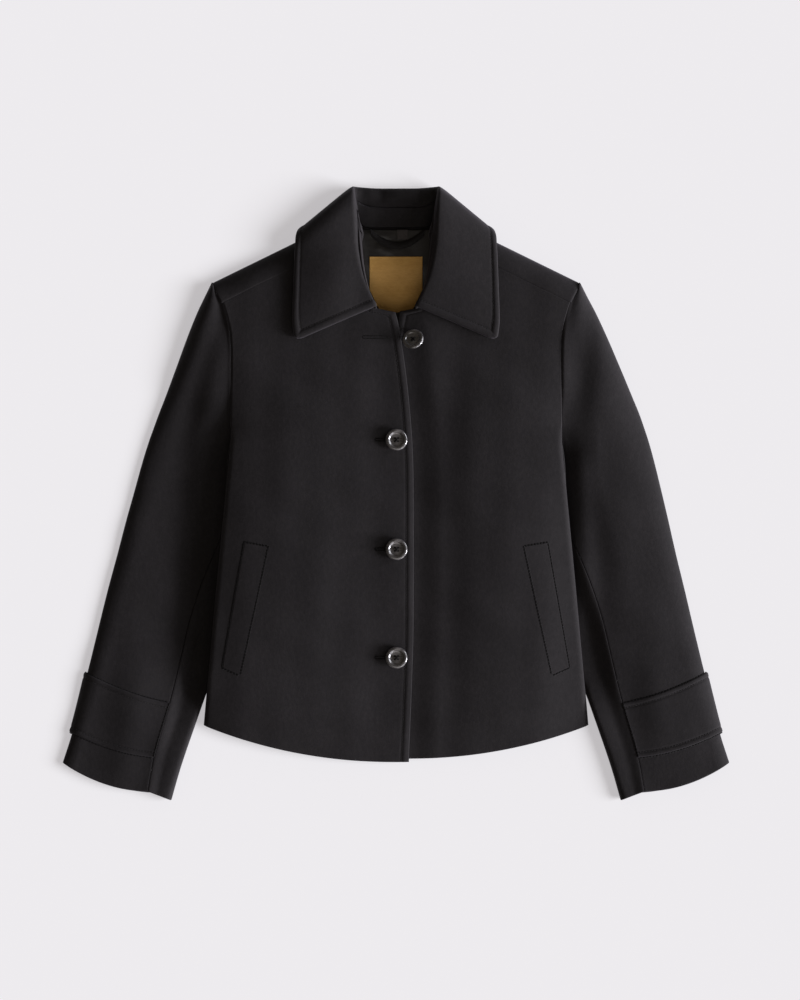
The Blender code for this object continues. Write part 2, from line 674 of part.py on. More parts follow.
def build_body(wool):
    across = np.concatenate((np.linspace(0, CLOSE_COLUMNS, 6)[:-1], towards_end(9, CLOSE_COLUMNS, 1.0)))
    along = np.concatenate(
        (
            np.linspace(0, FRONT_UNDERARM, 11)[:-1],
            np.linspace(FRONT_UNDERARM, EDGE_SHARE, 4)[:-1],
            (EDGE_SHARE,),
            np.linspace(NOTCH_SHARE, 1.0, 6),
        )
    )
    panel("front_left", front_left_point, across, along, CLOTH_WALL, wool)
    panel("front_right", front_right_point, across, along, CLOTH_WALL, wool, sign=-1)
    half = np.concatenate((np.linspace(0, BACK_NECK_SHARE, 6)[:-1], towards_end(8, BACK_NECK_SHARE, 1.0)))
    half[0] = 1e-6
    across = np.concatenate((-half[:0:-1], half))
    along = np.concatenate(
        (
            np.linspace(0, BACK_UNDERARM, 11)[:-1],
            np.linspace(BACK_UNDERARM, CLOSE_ROWS, 6)[:-1],
            np.linspace(CLOSE_ROWS, LAST_ROW, 13),
        )
    )
    panel("back", back_point, across, along, CLOTH_WALL, wool, sign=-1)


def build_sleeves(wool):
    round_top = np.concatenate(
        (
            np.linspace(TOP_SEAM_SHARE, RUN_END, 6)[:-1],
            np.linspace(RUN_END, TIP, 5)[:-1],
            np.linspace(TIP, FLOOR_START, 5)[:-1],
            np.linspace(FLOOR_START, 1 - TOP_SEAM_SHARE, 3),
        )
    )
    round_under = np.concatenate(
        (
            np.linspace(UNDER_SEAM_SHARE, RUN_END, 4)[:-1],
            np.linspace(RUN_END, TIP, 4)[:-1],
            np.linspace(TIP, FLOOR_START, 4)[:-1],
            np.linspace(FLOOR_START, 1 - UNDER_SEAM_SHARE, 2),
        )
    )
    places = np.union1d(SLEEVE["place"], TAB_PLACES)
    low_places = places[places >= SLEEVE_INNER["place"][0]]
    tab_limits = (0.0, 1.0), (0.0, 1.0)
    tab_along = np.array(TAB_PLACES)
    for side, sign in (("left", -1), ("right", 1)):
        top = lambda w, place, extra=-sign * ARM_FULLER: sleeve_top_point(w, place, extra)
        under = sleeve_under_point
        if side == "right":
            top, under = mirror(top), mirror(under)
        panel(f"sleeve_{side}_top", top, round_top, places, CLOTH_WALL, wool, sign)
        panel(f"sleeve_{side}_under", under, round_under, low_places, CLOTH_WALL, wool, -sign)
        tab = raised(top, tab_limits, TRIM_WALL + SEAM_GAP, sign)
        panel(f"cuff_tab_{side}", tab, round_top, tab_along, TRIM_WALL, wool, sign)


def build_collar(wool):
    half = np.concatenate(
        (
            np.linspace(0, COLLAR_BACK_END, 5)[:-1],
            np.linspace(COLLAR_BACK_END, COLLAR_TURN_END, 7)[:-1],
            np.linspace(COLLAR_TURN_END, 1.0, 7),
        )
    )
    along = np.concatenate((-half[:0:-1], half))
    over_roll = np.concatenate(
        (
            np.linspace(FALL_START, 1 / 3, 4)[:-1],
            np.linspace(1 / 3, 2 / 3, 5)[:-1],
            np.linspace(2 / 3, 1.0, 4),
        )
    )
    panel("collar_fall", collar_fall_point, over_roll, along, COLLAR_WALL, wool, sign=-1)
    panel("collar_stand", collar_stand_point, np.linspace(*STAND_SPAN, 3), along, CLOTH_WALL, wool, sign=-1)


def build_welts(wool):
    first, second, third, fourth = (np.array(corner) for corner in WELT_CORNERS)

    def welt(u, v):
        u, v = u[..., None], v[..., None]
        plan = mix(mix(fourth, third, u), mix(first, second, u), v)
        height = front_height(plan[..., 0], plan[..., 1]) + SEAM_GAP + WELT_WALL
        return np.concatenate((plan, height[..., None]), -1)

    across, along = np.linspace(0, 1, 4), np.linspace(0, 1, 7)
    panel("pocket_welt_left", welt, across, along, WELT_WALL, wool)
    panel("pocket_welt_right", mirror(welt), across, along, WELT_WALL, wool, sign=-1)


def on_lining(x, y, above):
    return np.stack((x, y, back_height(x, y) + CLOTH_WALL + LINING_LIE + LINING_WALL + above), -1)


def build_neck(satin, label, loop, tag):
    def lining(u, v):
        half = mix(LINING_FOOT_HALF, LINING_HALF, v)
        return on_lining(mix(-half, half, u), mix(*LINING_Y, v), 0.0)

    def neck_label(u, v):
        y = mix(*LABEL_Y, v)
        chamfer = np.clip((y - LABEL_Y[0]) / (LABEL_CHAMFER_Y - LABEL_Y[0]), 0, 1)
        half = mix(LABEL_FOOT_HALF, LABEL_HALF, chamfer)
        return on_lining(mix(-half, half, u), y, SEAM_GAP + LABEL_WALL)

    def hanger_loop(u, v):
        x = mix(-LOOP_HALF, LOOP_HALF, u)
        y = LOOP_Y[0] + (LOOP_Y[1] - LOOP_Y[0]) * (x / LOOP_HALF) ** 2 + LOOP_BAND * (v - 0.5)
        return on_lining(x + LOOP_CENTRE_X, y, SEAM_GAP + LOOP_WALL)

    def size_tag(u, v):
        return on_lining(mix(*TAG_X, u), mix(*TAG_Y, v), SEAM_GAP + LABEL_WALL)

    panel("lining_back", lining, np.linspace(0, 1, 7), np.linspace(0, 1, 14), LINING_WALL, satin)
    panel("neck_label", neck_label, np.linspace(0, 1, 4), np.linspace(0, 1, 6), LABEL_WALL, label)
    panel("hanger_loop", hanger_loop, np.linspace(0, 1, 11), np.linspace(0, 1, 2), LOOP_WALL, loop)
    panel("size_tag", size_tag, np.linspace(0, 1, 2), np.linspace(0, 1, 3), LABEL_WALL, tag)


def button_mesh(horn):
    """A turned button with a rounded rim and a dished middle, drilled with four thread holes."""
    reach, height = BUTTON_PROFILE["reach"], BUTTON_PROFILE["height"]
    points = [(BUTTON_RADIUS * r, 0.0, BUTTON_THICK * h) for r, h in zip(reach, height)]
    outline = bpy.data.meshes.new("button_profile")
    outline.from_pydata(points, [(k, k + 1) for k in range(len(points) - 1)], [])
    blank = bpy.data.objects.new("button_blank", outline)
    COLLECTION.objects.link(blank)
    turn = blank.modifiers.new("turn", "SCREW")
    turn.steps = turn.render_steps = BUTTON_STEPS
    turn.use_merge_vertices = True
    turn.merge_threshold = 0.00001
    drills = []
    for k in range(4):
        angle = math.radians(45 + 90 * k)
        spot = (HOLE_REACH * math.cos(angle), HOLE_REACH * math.sin(angle), BUTTON_THICK / 2)
        depth = 2 * BUTTON_THICK
        bpy.ops.mesh.primitive_cylinder_add(vertices=8, radius=HOLE_RADIUS, depth=depth, location=spot)
        drill = bpy.context.object
        drill.hide_render = True
        cut = blank.modifiers.new(f"hole_{k}", "BOOLEAN")
        cut.operation = "DIFFERENCE"
        cut.object = drill
        drills.append(drill)
    bpy.context.view_layer.update()
    drilled = bpy.data.meshes.new_from_object(blank.evaluated_get(bpy.context.evaluated_depsgraph_get()))
    for helper in (blank, *drills):
        bpy.data.objects.remove(helper)
    drilled.name = "button"
    drilled.materials.clear()
    drilled.materials.append(horn)
    return drilled


def build_buttons(horn):
    mesh = button_mesh(horn)
    x, y = (np.array(value) for value in UNDONE_BUTTON)
    tilt_room = BUTTON_RADIUS * math.sin(math.hypot(*UNDONE_TILT))
    undone = place_mesh("button_1", mesh, horn)
    undone.location = (float(x), float(y), float(front_height(x, y)) - UNDONE_SINK + tilt_room)
    undone.rotation_euler = UNDONE_TILT
    for number, y in enumerate(BUTTON_Y, start=2):
        button = place_mesh(f"button_{number}", mesh, horn)
        height = float(front_height(np.array(BUTTON_X), np.array(y)))
        button.location = (BUTTON_X, y, height + BUTTON_LIE)


def main():
    for thing in list(bpy.data.objects):
        bpy.data.objects.remove(thing)
    bpy.context.scene.collection.children.link(COLLECTION)
    wool = finish("black_wool", (0.012, 0.011, 0.013), 0.9)
    build_body(wool)
    build_sleeves(wool)
    build_collar(wool)
    build_welts(wool)
    build_neck(
        finish("black_satin", (0.015, 0.014, 0.015), 0.4),
        finish("ochre_label", (0.42, 0.24, 0.05), 0.5),
        finish("loop_braid", (0.012, 0.011, 0.012), 0.6),
        finish("tag_braid", (0.020, 0.018, 0.020), 0.7),
    )
    build_buttons(finish("dark_horn", (0.045, 0.038, 0.035), 0.2))


main()
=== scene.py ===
# %% [markdown]
# # A short wool coat, laid flat on its back
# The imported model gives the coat's size and the place of each piece that a maker cuts: back, fronts,
# two-piece sleeves, collar, welts, tabs and what shows inside the neck. This script dresses it. Each
# cut piece becomes a fine thin shell on the same form, with round folded edges, sunk seams, rows of
# topstitching, creases and a napped wool finish. The frame is in metres: +X to the right as seen from
# above, +Y towards the collar and +Z up off the floor. Left and right in names are the wearer's.

import math

import bpy
import numpy as np
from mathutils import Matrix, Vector


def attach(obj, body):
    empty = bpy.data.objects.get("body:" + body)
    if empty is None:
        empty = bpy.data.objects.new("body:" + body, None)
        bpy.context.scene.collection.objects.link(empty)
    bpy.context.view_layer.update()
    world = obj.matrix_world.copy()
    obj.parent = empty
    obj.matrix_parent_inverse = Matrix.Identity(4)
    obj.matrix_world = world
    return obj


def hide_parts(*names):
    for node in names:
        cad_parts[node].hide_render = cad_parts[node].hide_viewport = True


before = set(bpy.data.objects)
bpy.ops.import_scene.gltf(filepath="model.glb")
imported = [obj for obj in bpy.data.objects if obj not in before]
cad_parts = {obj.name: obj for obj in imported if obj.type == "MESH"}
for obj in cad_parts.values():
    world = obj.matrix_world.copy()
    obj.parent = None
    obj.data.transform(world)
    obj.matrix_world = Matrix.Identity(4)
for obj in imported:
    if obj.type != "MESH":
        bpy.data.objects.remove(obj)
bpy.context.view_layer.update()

# %% [markdown]
# ## Camera, floor and light
# The coat was seen from straight above with a long lens, so the camera stands six metres over it and
# looks down. A long lens keeps the sleeves from leaning away at the sides. A broad low key from the
# wearer's left, made of three lamps, gives the dark side of each arm and the lit rims of the
# collar, and an even dome fills the rest. The floor is a plain pale sheet that glows a little, as a
# light table does, and has a higher lamp of its own, so its shadow stays short and soft. Sun lamps with
# a wide disc were chosen because they light everything evenly; light linking keeps the two apart.

# %% Camera
FRAME_HEIGHT_METRES = 1.150
VIEW_CENTRE = (0.0046, -0.0075)
CAMERA_HEIGHT, FARTHEST_SEEN = 6.0, 50.0
SENSOR_MILLIMETRES = 36.0

scene = bpy.context.scene
scene.view_settings.view_transform = "Standard"
camera = bpy.data.objects.new("camera", bpy.data.cameras.new("camera"))
scene.collection.objects.link(camera)
camera.location = (*VIEW_CENTRE, CAMERA_HEIGHT)
camera.data.sensor_fit = "VERTICAL"
camera.data.sensor_height = SENSOR_MILLIMETRES
camera.data.lens = SENSOR_MILLIMETRES * CAMERA_HEIGHT / FRAME_HEIGHT_METRES
camera.data.clip_end = FARTHEST_SEEN
scene.camera = camera
print("lens, millimetres:", round(camera.data.lens, 1))

# %% Floor
FLOOR_HALF = 14.0
FLOOR_LEVEL = -0.0004
FLOOR_COLOUR = (0.500, 0.505, 0.530, 1.0)
FLOOR_GLOW = (0.476, 0.463, 0.480, 1.0)

floor_mesh = bpy.data.meshes.new("floor")
floor_signs = (-1, -1), (1, -1), (1, 1), (-1, 1)
floor_corners = [(x * FLOOR_HALF, y * FLOOR_HALF, FLOOR_LEVEL) for x, y in floor_signs]
floor_mesh.from_pydata(floor_corners, [], [(0, 1, 2, 3)])
floor = bpy.data.objects.new("floor", floor_mesh)
scene.collection.objects.link(floor)
print("floor, metres across:", 2 * FLOOR_HALF)

# %% Lamps
# Bearing from +X, rise above the floor, width of the disc, power and colour of each lamp
SIDE_LAMPS = (
    (-52, 16, 30, 1.2, (0.97, 0.94, 1.0)),
    (-15, 12, 22, 8.0, (0.95, 0.94, 1.0)),
    (24, 16, 28, 1.9, (0.93, 0.94, 1.0)),
)
FRONT_LAMP = -78, 52, 50, 0.60, (1.0, 0.95, 0.92)
FLOOR_LAMP = -8, 34, 34, 3.5, (1.0, 1.0, 1.0)
FILL_COLOUR, FILL_POWER = (1.0, 0.86, 0.70, 1.0), 0.125


def add_lamp(name, bearing, rise, disc, power, colour, for_floor):
    """A sun with a wide soft disc, which lights either the floor or all but the floor."""
    lamp = bpy.data.objects.new(name, bpy.data.lights.new(name, "SUN"))
    lamp.data.energy = power
    lamp.data.color = colour
    lamp.data.angle = math.radians(disc)
    bearing, rise = math.radians(bearing), math.radians(rise)
    towards = (math.cos(rise) * math.cos(bearing), math.cos(rise) * math.sin(bearing), math.sin(rise))
    lamp.rotation_euler = Vector(towards).to_track_quat("Z", "Y").to_euler()
    lit = bpy.data.collections.new(f"{name}_lights")
    lit.objects.link(floor)
    lit.collection_objects[0].light_linking.link_state = "INCLUDE" if for_floor else "EXCLUDE"
    lamp.light_linking.receiver_collection = lit
    scene.collection.objects.link(lamp)


for number, lamp_row in enumerate(SIDE_LAMPS, 1):
    add_lamp(f"side_lamp_{number}", *lamp_row, False)
add_lamp("front_lamp", *FRONT_LAMP, False)
add_lamp("floor_lamp", *FLOOR_LAMP, True)
studio = bpy.data.worlds.new("studio")
studio.use_nodes = True
studio.node_tree.nodes["Background"].inputs["Color"].default_value = FILL_COLOUR
studio.node_tree.nodes["Background"].inputs["Strength"].default_value = FILL_POWER
scene.world = studio
print("side lamps:", len(SIDE_LAMPS))

# %% [markdown]
# ## Writing finishes as maths
# A finish is a small graph of shader nodes. Wiring each node by hand hides what the finish does, so
# one class wraps a socket: plus, minus and times on it add Math nodes, and one method adds any other
# node. Colours come straight out of ramps, because a Math node would turn them grey.

# %% The Wire class
class Wire:
    """A shader socket that can be used in plain maths."""

    def __init__(self, tree, socket=None):
        self.tree = tree
        self.socket = socket

    def node(self, kind, settings=None, values=None, output=0):
        """Adds a node: its settings first, then what its sockets hold or are linked to."""
        made = self.tree.nodes.new(kind)
        for name, value in (settings or {}).items():
            if name == "stops":
                self.set_stops(made.color_ramp, value)
            else:
                setattr(made, name, value)
        for name, value in (values or {}).items():
            self.feed(made.inputs[name], value)
        return Wire(self.tree, made.outputs[output])

    def set_stops(self, ramp, stops):
        while len(ramp.elements) < len(stops):
            ramp.elements.new(1.0)
        for element, (place, colour) in zip(ramp.elements, stops):
            element.position = place
            element.color = colour

    def feed(self, socket, value):
        if isinstance(value, Wire):
            self.tree.links.new(value.socket, socket)
        else:
            socket.default_value = value

    def maths(self, operation, first, second):
        return self.node("ShaderNodeMath", {"operation": operation}, {0: first, 1: second})

    def __add__(self, other):
        return self.maths("ADD", self, other)

    def __radd__(self, other):
        return self.maths("ADD", other, self)

    def __sub__(self, other):
        return self.maths("SUBTRACT", self, other)

    def __rsub__(self, other):
        return self.maths("SUBTRACT", other, self)

    def __mul__(self, other):
        return self.maths("MULTIPLY", self, other)

    def __rmul__(self, other):
        return self.maths("MULTIPLY", other, self)

    def noise(self, scale, detail, roughness):
        values = {"Vector": self, "Scale": scale, "Detail": detail, "Roughness": roughness}
        return self.node("ShaderNodeTexNoise", {}, values)

    def stretched(self, x, y, z):
        return self.node("ShaderNodeMapping", {}, {"Vector": self, "Scale": (x, y, z)})

    def waves(self, scale, direction, distortion):
        settings = {"wave_type": "BANDS", "bands_direction": direction}
        values = {"Vector": self, "Scale": scale, "Distortion": distortion, "Detail": 1.0}
        return self.node("ShaderNodeTexWave", settings, values, output="Fac")

    def colours(self, *stops):
        """A ramp from this value to colours; each stop is a place and a colour."""
        full = [(place, (*colour, 1.0)) for place, colour in stops]
        return self.node("ShaderNodeValToRGB", {"stops": full}, {"Fac": self})

    def bump(self, strength, depth):
        values = {"Strength": strength, "Distance": depth, "Height": self}
        return self.node("ShaderNodeBump", {}, values, "Normal")


def start_finish(name, constants):
    """A new material with its even values set; returns it, its shader and the place on the piece."""
    material = bpy.data.materials.new(name)
    material.use_nodes = True
    shader = material.node_tree.nodes["Principled BSDF"]
    for socket, value in constants.items():
        shader.inputs[socket].default_value = value
    place = Wire(material.node_tree).node("ShaderNodeTexCoord", output="Object")
    return material, shader, place


print("finishes can be written as maths")

# %% [markdown]
# ## The finishes
# The coat is black melton: a fulled wool whose short nap hides the weave, so it shows as fine fuzzy
# fibre, soft clumps and a slight bloom of pale light where the nap stands up against the light. The
# bloom is the shader's sheen. The nap is noise stretched down the coat, used both for tone and bump.
# The satin, the braid, the label's weave and the horn of the buttons each get their own scale of
# detail, close to what they have in the hand.

# %% Wool and satin
def wool_finish():
    bloom_on_nap = {"Sheen Weight": 0.09, "Sheen Roughness": 0.50, "Sheen Tint": (0.84, 0.78, 0.90, 1.0)}
    material, shader, place = start_finish("black_wool", {**bloom_on_nap, "Specular IOR Level": 0.15})
    nap = place.stretched(1.0, 0.6, 1.0)
    fibre = nap.noise(scale=950.0, detail=4.0, roughness=0.7)
    tufts = nap.noise(scale=260.0, detail=3.0, roughness=0.6)
    bloom = place.noise(scale=24.0, detail=2.0, roughness=0.5)
    tone = fibre * 0.55 + tufts * 0.30 + bloom * 0.15
    colour = tone.colours(
        (0.36, (0.0042, 0.0035, 0.0037)),
        (0.50, (0.0072, 0.0062, 0.0065)),
        (0.66, (0.0125, 0.0109, 0.0114)),
    )
    place.feed(shader.inputs["Base Color"], colour)
    place.feed(shader.inputs["Roughness"], 0.72 + fibre * 0.14)
    relief = fibre * 0.45 + tufts * 0.75
    place.feed(shader.inputs["Normal"], relief.bump(strength=0.40, depth=0.0005))
    return material


def satin_finish():
    even = {"Specular IOR Level": 0.46, "Sheen Weight": 0.05}
    material, shader, place = start_finish("black_satin", even)
    twill = place.stretched(1.0, 0.35, 1.0).waves(scale=900.0, direction="DIAGONAL", distortion=1.5)
    slubs = place.stretched(0.25, 1.0, 1.0).noise(scale=420.0, detail=3.0, roughness=0.6)
    colour = slubs.colours((0.30, (0.0040, 0.0035, 0.0034)), (0.70, (0.0110, 0.0098, 0.0096)))
    place.feed(shader.inputs["Base Color"], colour)
    place.feed(shader.inputs["Roughness"], 0.34 + slubs * 0.12)
    place.feed(shader.inputs["Normal"], (twill * 0.4 + slubs * 0.6).bump(strength=0.25, depth=0.00025))
    return material


WOOL, SATIN = wool_finish(), satin_finish()
print(WOOL.name, SATIN.name)


# %% Label, braid and thread
def label_finish():
    even = {"Specular IOR Level": 0.35, "Sheen Weight": 0.15}
    material, shader, place = start_finish("ochre_label", even)
    weft = place.waves(scale=700.0, direction="Y", distortion=0.6)
    warp = place.waves(scale=520.0, direction="X", distortion=0.6)
    slubs = place.stretched(0.3, 1.0, 1.0).noise(scale=600.0, detail=3.0, roughness=0.6)
    wear = place.noise(scale=45.0, detail=3.0, roughness=0.6)
    tone = weft * 0.18 + warp * 0.12 + slubs * 0.40 + wear * 0.30
    colour = tone.colours(
        (0.25, (0.390, 0.205, 0.042)),
        (0.50, (0.520, 0.290, 0.072)),
        (0.75, (0.640, 0.390, 0.118)),
    )
    place.feed(shader.inputs["Base Color"], colour)
    place.feed(shader.inputs["Roughness"], 0.50 + slubs * 0.2)
    place.feed(shader.inputs["Normal"], (weft * 0.6 + warp * 0.4).bump(strength=0.35, depth=0.0002))
    return material


def braid_finish(name, dark, light, scale, gloss):
    material, shader, place = start_finish(name, {"Specular IOR Level": gloss, "Sheen Weight": 0.03})
    ribs = place.waves(scale=scale, direction="DIAGONAL", distortion=0.8)
    fuzz = place.noise(scale=1500.0, detail=2.0, roughness=0.6)
    tone = ribs * 0.6 + fuzz * 0.4
    place.feed(shader.inputs["Base Color"], tone.colours((0.2, dark), (0.8, light)))
    place.feed(shader.inputs["Roughness"], 0.45 + fuzz * 0.25)
    place.feed(shader.inputs["Normal"], ribs.bump(strength=0.5, depth=0.0003))
    return material


LABEL_WEAVE = label_finish()
# Name, darkest and lightest colour, scale of the ribs and gloss of each braid and thread
LOOP_BRAID, TAG_BRAID, BLACK_THREAD_AND_SHADE, TOP_THREAD = (
    braid_finish(*row)
    for row in (
        ("loop_braid", (0.005, 0.0045, 0.0045), (0.0095, 0.0083, 0.0083), 520.0, 0.14),
        ("tag_braid", (0.022, 0.0195, 0.0195), (0.052, 0.046, 0.046), 700.0, 0.3),
        # The black thread is also laid as flat dark bands of painted shade round the tabs and welts
        ("black_thread_and_shade", (0.0010, 0.0008, 0.0008), (0.0034, 0.0028, 0.0028), 2400.0, 0.06),
        ("wool_thread", (0.0036, 0.0030, 0.0031), (0.0088, 0.0075, 0.0077), 2400.0, 0.12),
    )
)
print(LABEL_WEAVE.name, LOOP_BRAID.name, TAG_BRAID.name, BLACK_THREAD_AND_SHADE.name, TOP_THREAD.name)


# %% Horn and floor
def horn_finish():
    even = {"Coat Roughness": 0.10, "IOR": 1.54, "Specular IOR Level": 0.7}
    material, shader, place = start_finish("dark_horn", even)
    streaks = place.stretched(0.35, 1.0, 1.0).noise(scale=420.0, detail=4.0, roughness=0.6)
    clouds = place.noise(scale=130.0, detail=2.0, roughness=0.5)
    tone = streaks * 0.65 + clouds * 0.35
    colour = tone.colours(
        (0.34, (0.0085, 0.0080, 0.0082)),
        (0.52, (0.0340, 0.0320, 0.0325)),
        (0.70, (0.1120, 0.1060, 0.1070)),
    )
    place.feed(shader.inputs["Base Color"], colour)
    place.feed(shader.inputs["Roughness"], 0.20 + streaks * 0.16)
    place.feed(shader.inputs["Coat Weight"], 0.55 + clouds * 0.4)
    place.feed(shader.inputs["Normal"], streaks.bump(strength=0.12, depth=0.0001))
    return material


def floor_finish():
    material, shader, place = start_finish("pale_floor", {"Specular IOR Level": 0.0})
    grain = place.noise(scale=60.0, detail=2.0, roughness=0.5)
    place.feed(shader.inputs["Roughness"], 0.92 + grain * 0.08)
    shader.inputs["Base Color"].default_value = FLOOR_COLOUR
    shader.inputs["Emission Color"].default_value = FLOOR_GLOW
    shader.inputs["Emission Strength"].default_value = 1.0
    return material


HORN = horn_finish()
floor_mesh.materials.append(floor_finish())
print(HORN.name, floor_mesh.materials[0].name)

# %% [markdown]
# ## The form of the laid coat
# The same named sizes, outline tables and curves that the CAD model was drawn from are repeated here,
# so each piece lies exactly on its solid. Every table is a short list of places measured along a piece,
# joined by a smooth curve that never runs past its rows.

# %% Sizes
# Walls, the gap between neighbours, and how far lining and buttons lie off what carries them
CLOTH_WALL, COLLAR_WALL, TRIM_WALL, WELT_WALL = 0.0024, 0.0040, 0.0034, 0.0022
LINING_WALL, LABEL_WALL, LOOP_WALL = 0.0010, 0.0008, 0.0016
SEAM_GAP, LINING_LIE, BUTTON_LIE = 0.0003, 0.0011, 0.0009

# Hem: its middle, half width, rise at the sides and curve, and how much shorter the front underneath
# and the back are
HEM_CENTRE_Y, HEM_HALF, HEM_RISE, HEM_CURVE = -0.3085, 0.221, 0.042, 2.1
UNDER_FRONT_SHORTER, BACK_SHORTER = 0.004, 0.005

# Side rolls: the share of a front's rise that is in its side roll and the roll's least width, the
# widths of the broad crown and of the back's roll, and where the roll ends below the armhole
ROLLED_SHARE, ROLL_LEAST = 0.35, 0.006
BROAD_CROWN, BACK_ROLL = 0.120, 0.008
ARMHOLE_BLEND = (0.055, 0.085)
# The buttoned middle lies this much below the fullest line of the fronts, out to there, and the
# places up the coat between which it does
PLACKET_SINK, PLACKET_REACH = 0.0035, 0.115
PLACKET_FOOT, PLACKET_HEAD = (-0.310, -0.220), (0.080, 0.180)
# How far the front underneath is pressed down, and where that fades past the upper one's edge
OVERLAP_DIP, OVERLAP_REACH = 0.0030, (0.003, 0.034)

# Shoulder line, where the back panel turns over to the front: its ends, the height of the fold, and
# how much cloth the turn takes below and above, and a place beside the middle of the back
SHOULDER_NECK, SHOULDER_TIP = np.array((0.050, 0.320)), np.array((0.2095, 0.242))
SHOULDER_FOLD, SHOULDER_UNDER, SHOULDER_OVER = 0.0125, 0.020, 0.025
JUST_OFF_CENTRE = 1e-6

# Where the back rides up over the tucked sleeves and over the collar that lies under it
TUCK_RAMP, TUCK_CLEAR = 0.050, 0.004
NECK_LIFT, NECK_RAMP, NECK_CLEAR = 0.0052, 0.036, 0.009

# Shares of a front's near side where its edge and its collar notch end, of the back's top where its
# neck ends, of the collar at the shoulder seam, and of the back's length at its last row
EDGE_SHARE, NOTCH_SHARE = 0.80, 0.84
BACK_NECK_SHARE, NECK_SEAM_PLACE, LAST_ROW = 0.30, 0.40, 0.9995

# A folded edge's tightest outer radius and the most of a sleeve's width that it takes
FOLD_RADIUS, ROLL_MOST = 0.0034, 0.55
# Shares of a sleeve's girth at its turns and left free at its seams, and where its crown is reached
RUN_END, TIP, FLOOR_START = 0.40, 0.62, 0.80
TOP_SEAM_SHARE, UNDER_SEAM_SHARE = 0.0015, 0.005
SLEEVE_RISE = 0.45
# How much wider the left arm lies than the table, how much narrower the right, and down to where
ARM_FULLER, ARM_FULLER_END = 0.0035, 0.9

# Collar: how far the stand's foot is off the neck seam at the back and in front, between which
# places that changes, and how much of the way up to the roll is stand
STAND_RISE_BACK, STAND_RISE_FRONT = 0.0042, 0.0020
STAND_RISE_PLACES = (0.30, 0.50)
STAND_SHARE = 0.5

# Buttons: the three that are done up, then the undone one with its lean and how deep it sits
BUTTON_RADIUS, BUTTON_THICK = 0.0125, 0.0048
HOLE_RADIUS, HOLE_REACH = 0.0011, 0.0026
BUTTON_X, BUTTON_Y = 0.0006, (0.0615, -0.0638, -0.1880)
UNDONE_BUTTON = (0.0200, 0.1754)
UNDONE_TILT = (math.radians(-26), math.radians(-15), 0)
UNDONE_SINK = 0.0034

print("walls:", CLOTH_WALL, COLLAR_WALL, TRIM_WALL, LINING_WALL)


# %% Outline tables of the body
def table(columns, *rows):
    """Named columns; the first one is the place along the piece."""
    return dict(zip(columns.split(), np.array(rows, float).T))


# Height of the front's outer face up the middle
CROWN = table(
    "y height",
    (-0.3090, 0.0140),
    (-0.2700, 0.0195),
    (-0.2000, 0.0275),
    (-0.0500, 0.0325),
    (0.0800, 0.0312),
    (0.1600, 0.0266),
    (0.2200, 0.0257),
    (0.3100, 0.0255),
)
# Side seam and front armhole: place up the coat, half width and height off the floor
SIDE = table(
    "y x z",
    (-0.2670, 0.2210, 0.0075),
    (-0.2400, 0.2185, 0.0128),
    (-0.2000, 0.2146, 0.0205),
    (-0.1000, 0.2054, 0.0225),
    (0.0000, 0.1957, 0.0230),
    (0.0620, 0.1900, 0.0230),
    (0.0850, 0.1892, 0.0232),
    (0.1120, 0.1888, 0.0236),
    (0.1500, 0.1882, 0.0241),
    (0.1800, 0.1891, 0.0243),
    (0.2040, 0.1938, 0.0243),
    (0.2195, 0.1985, 0.0240),
)
# Side seam and back armhole of the back panel, on to the end of the turned-over shoulder
BACK_SIDE = table(
    "y x z",
    (-0.2620, 0.2205, 0.0069),
    (-0.2400, 0.2185, 0.0121),
    (-0.2000, 0.2146, 0.0198),
    (-0.1000, 0.2054, 0.0219),
    (0.0000, 0.1957, 0.0224),
    (0.0580, 0.1903, 0.0222),
    (0.0750, 0.1855, 0.0110),
    (0.0920, 0.1815, 0.0040),
    (0.1120, 0.1795, 0.0000),
    (0.1500, 0.1815, 0.0000),
    (0.1800, 0.1845, 0.0000),
    (0.2040, 0.1898, 0.0000),
    (0.2240, 0.1972, 0.0000),
    (0.2420, 0.2095, 0.0000),
    (0.2645, 0.2205, 0.0000),
)
# How far the back panel is held up by the sleeve tucked under its side
TUCK = table(
    "y lift",
    (-0.2620, 0.0000),
    (-0.2450, 0.0030),
    (-0.2200, 0.0088),
    (-0.1900, 0.0103),
    (0.0200, 0.0105),
    (0.0600, 0.0103),
    (0.0800, 0.0062),
    (0.1120, 0.0000),
)
# Front edges: the buttonhole side lies on top, the button side runs on underneath
OVER_EDGE = table(
    "y x",
    (-0.3085, 0.0148),
    (-0.2260, 0.0182),
    (-0.1500, 0.0203),
    (-0.0535, 0.0205),
    (0.0155, 0.0203),
    (0.0615, 0.0188),
    (0.1075, 0.0150),
    (0.1420, 0.0112),
    (0.1630, 0.0082),
    (0.1880, 0.0042),
    (0.2020, 0.0010),
    (0.2076, -0.0006),
)
UNDER_EDGE = table(
    "y x",
    (-0.3050, -0.0160),
    (-0.1500, -0.0160),
    (0.0600, -0.0150),
    (0.1500, -0.0070),
    (0.2085, 0.0040),
)
print(len(SIDE["y"]), "rows of side seam")

# %% Outline tables of the neck
# Neck seam of the fronts, from the collar's end up to the shoulder seam
FRONT_NECK = table(
    "share x y",
    (0.00, 0.0215, 0.2120),
    (0.25, 0.0290, 0.2290),
    (0.50, 0.0345, 0.2500),
    (0.75, 0.0375, 0.2730),
    (1.00, 0.0390, 0.2975),
)
# Neck seam of the back panel, flat, from the centre out to the shoulder seam's end
BACK_NECK = table(
    "share x y",
    (0.00, 0.0000, 0.3050),
    (0.30, 0.0250, 0.3050),
    (0.50, 0.0400, 0.3070),
    (0.62, 0.0470, 0.3120),
    (0.78, 0.0525, 0.3235),
    (1.00, 0.0610, 0.3425),
)
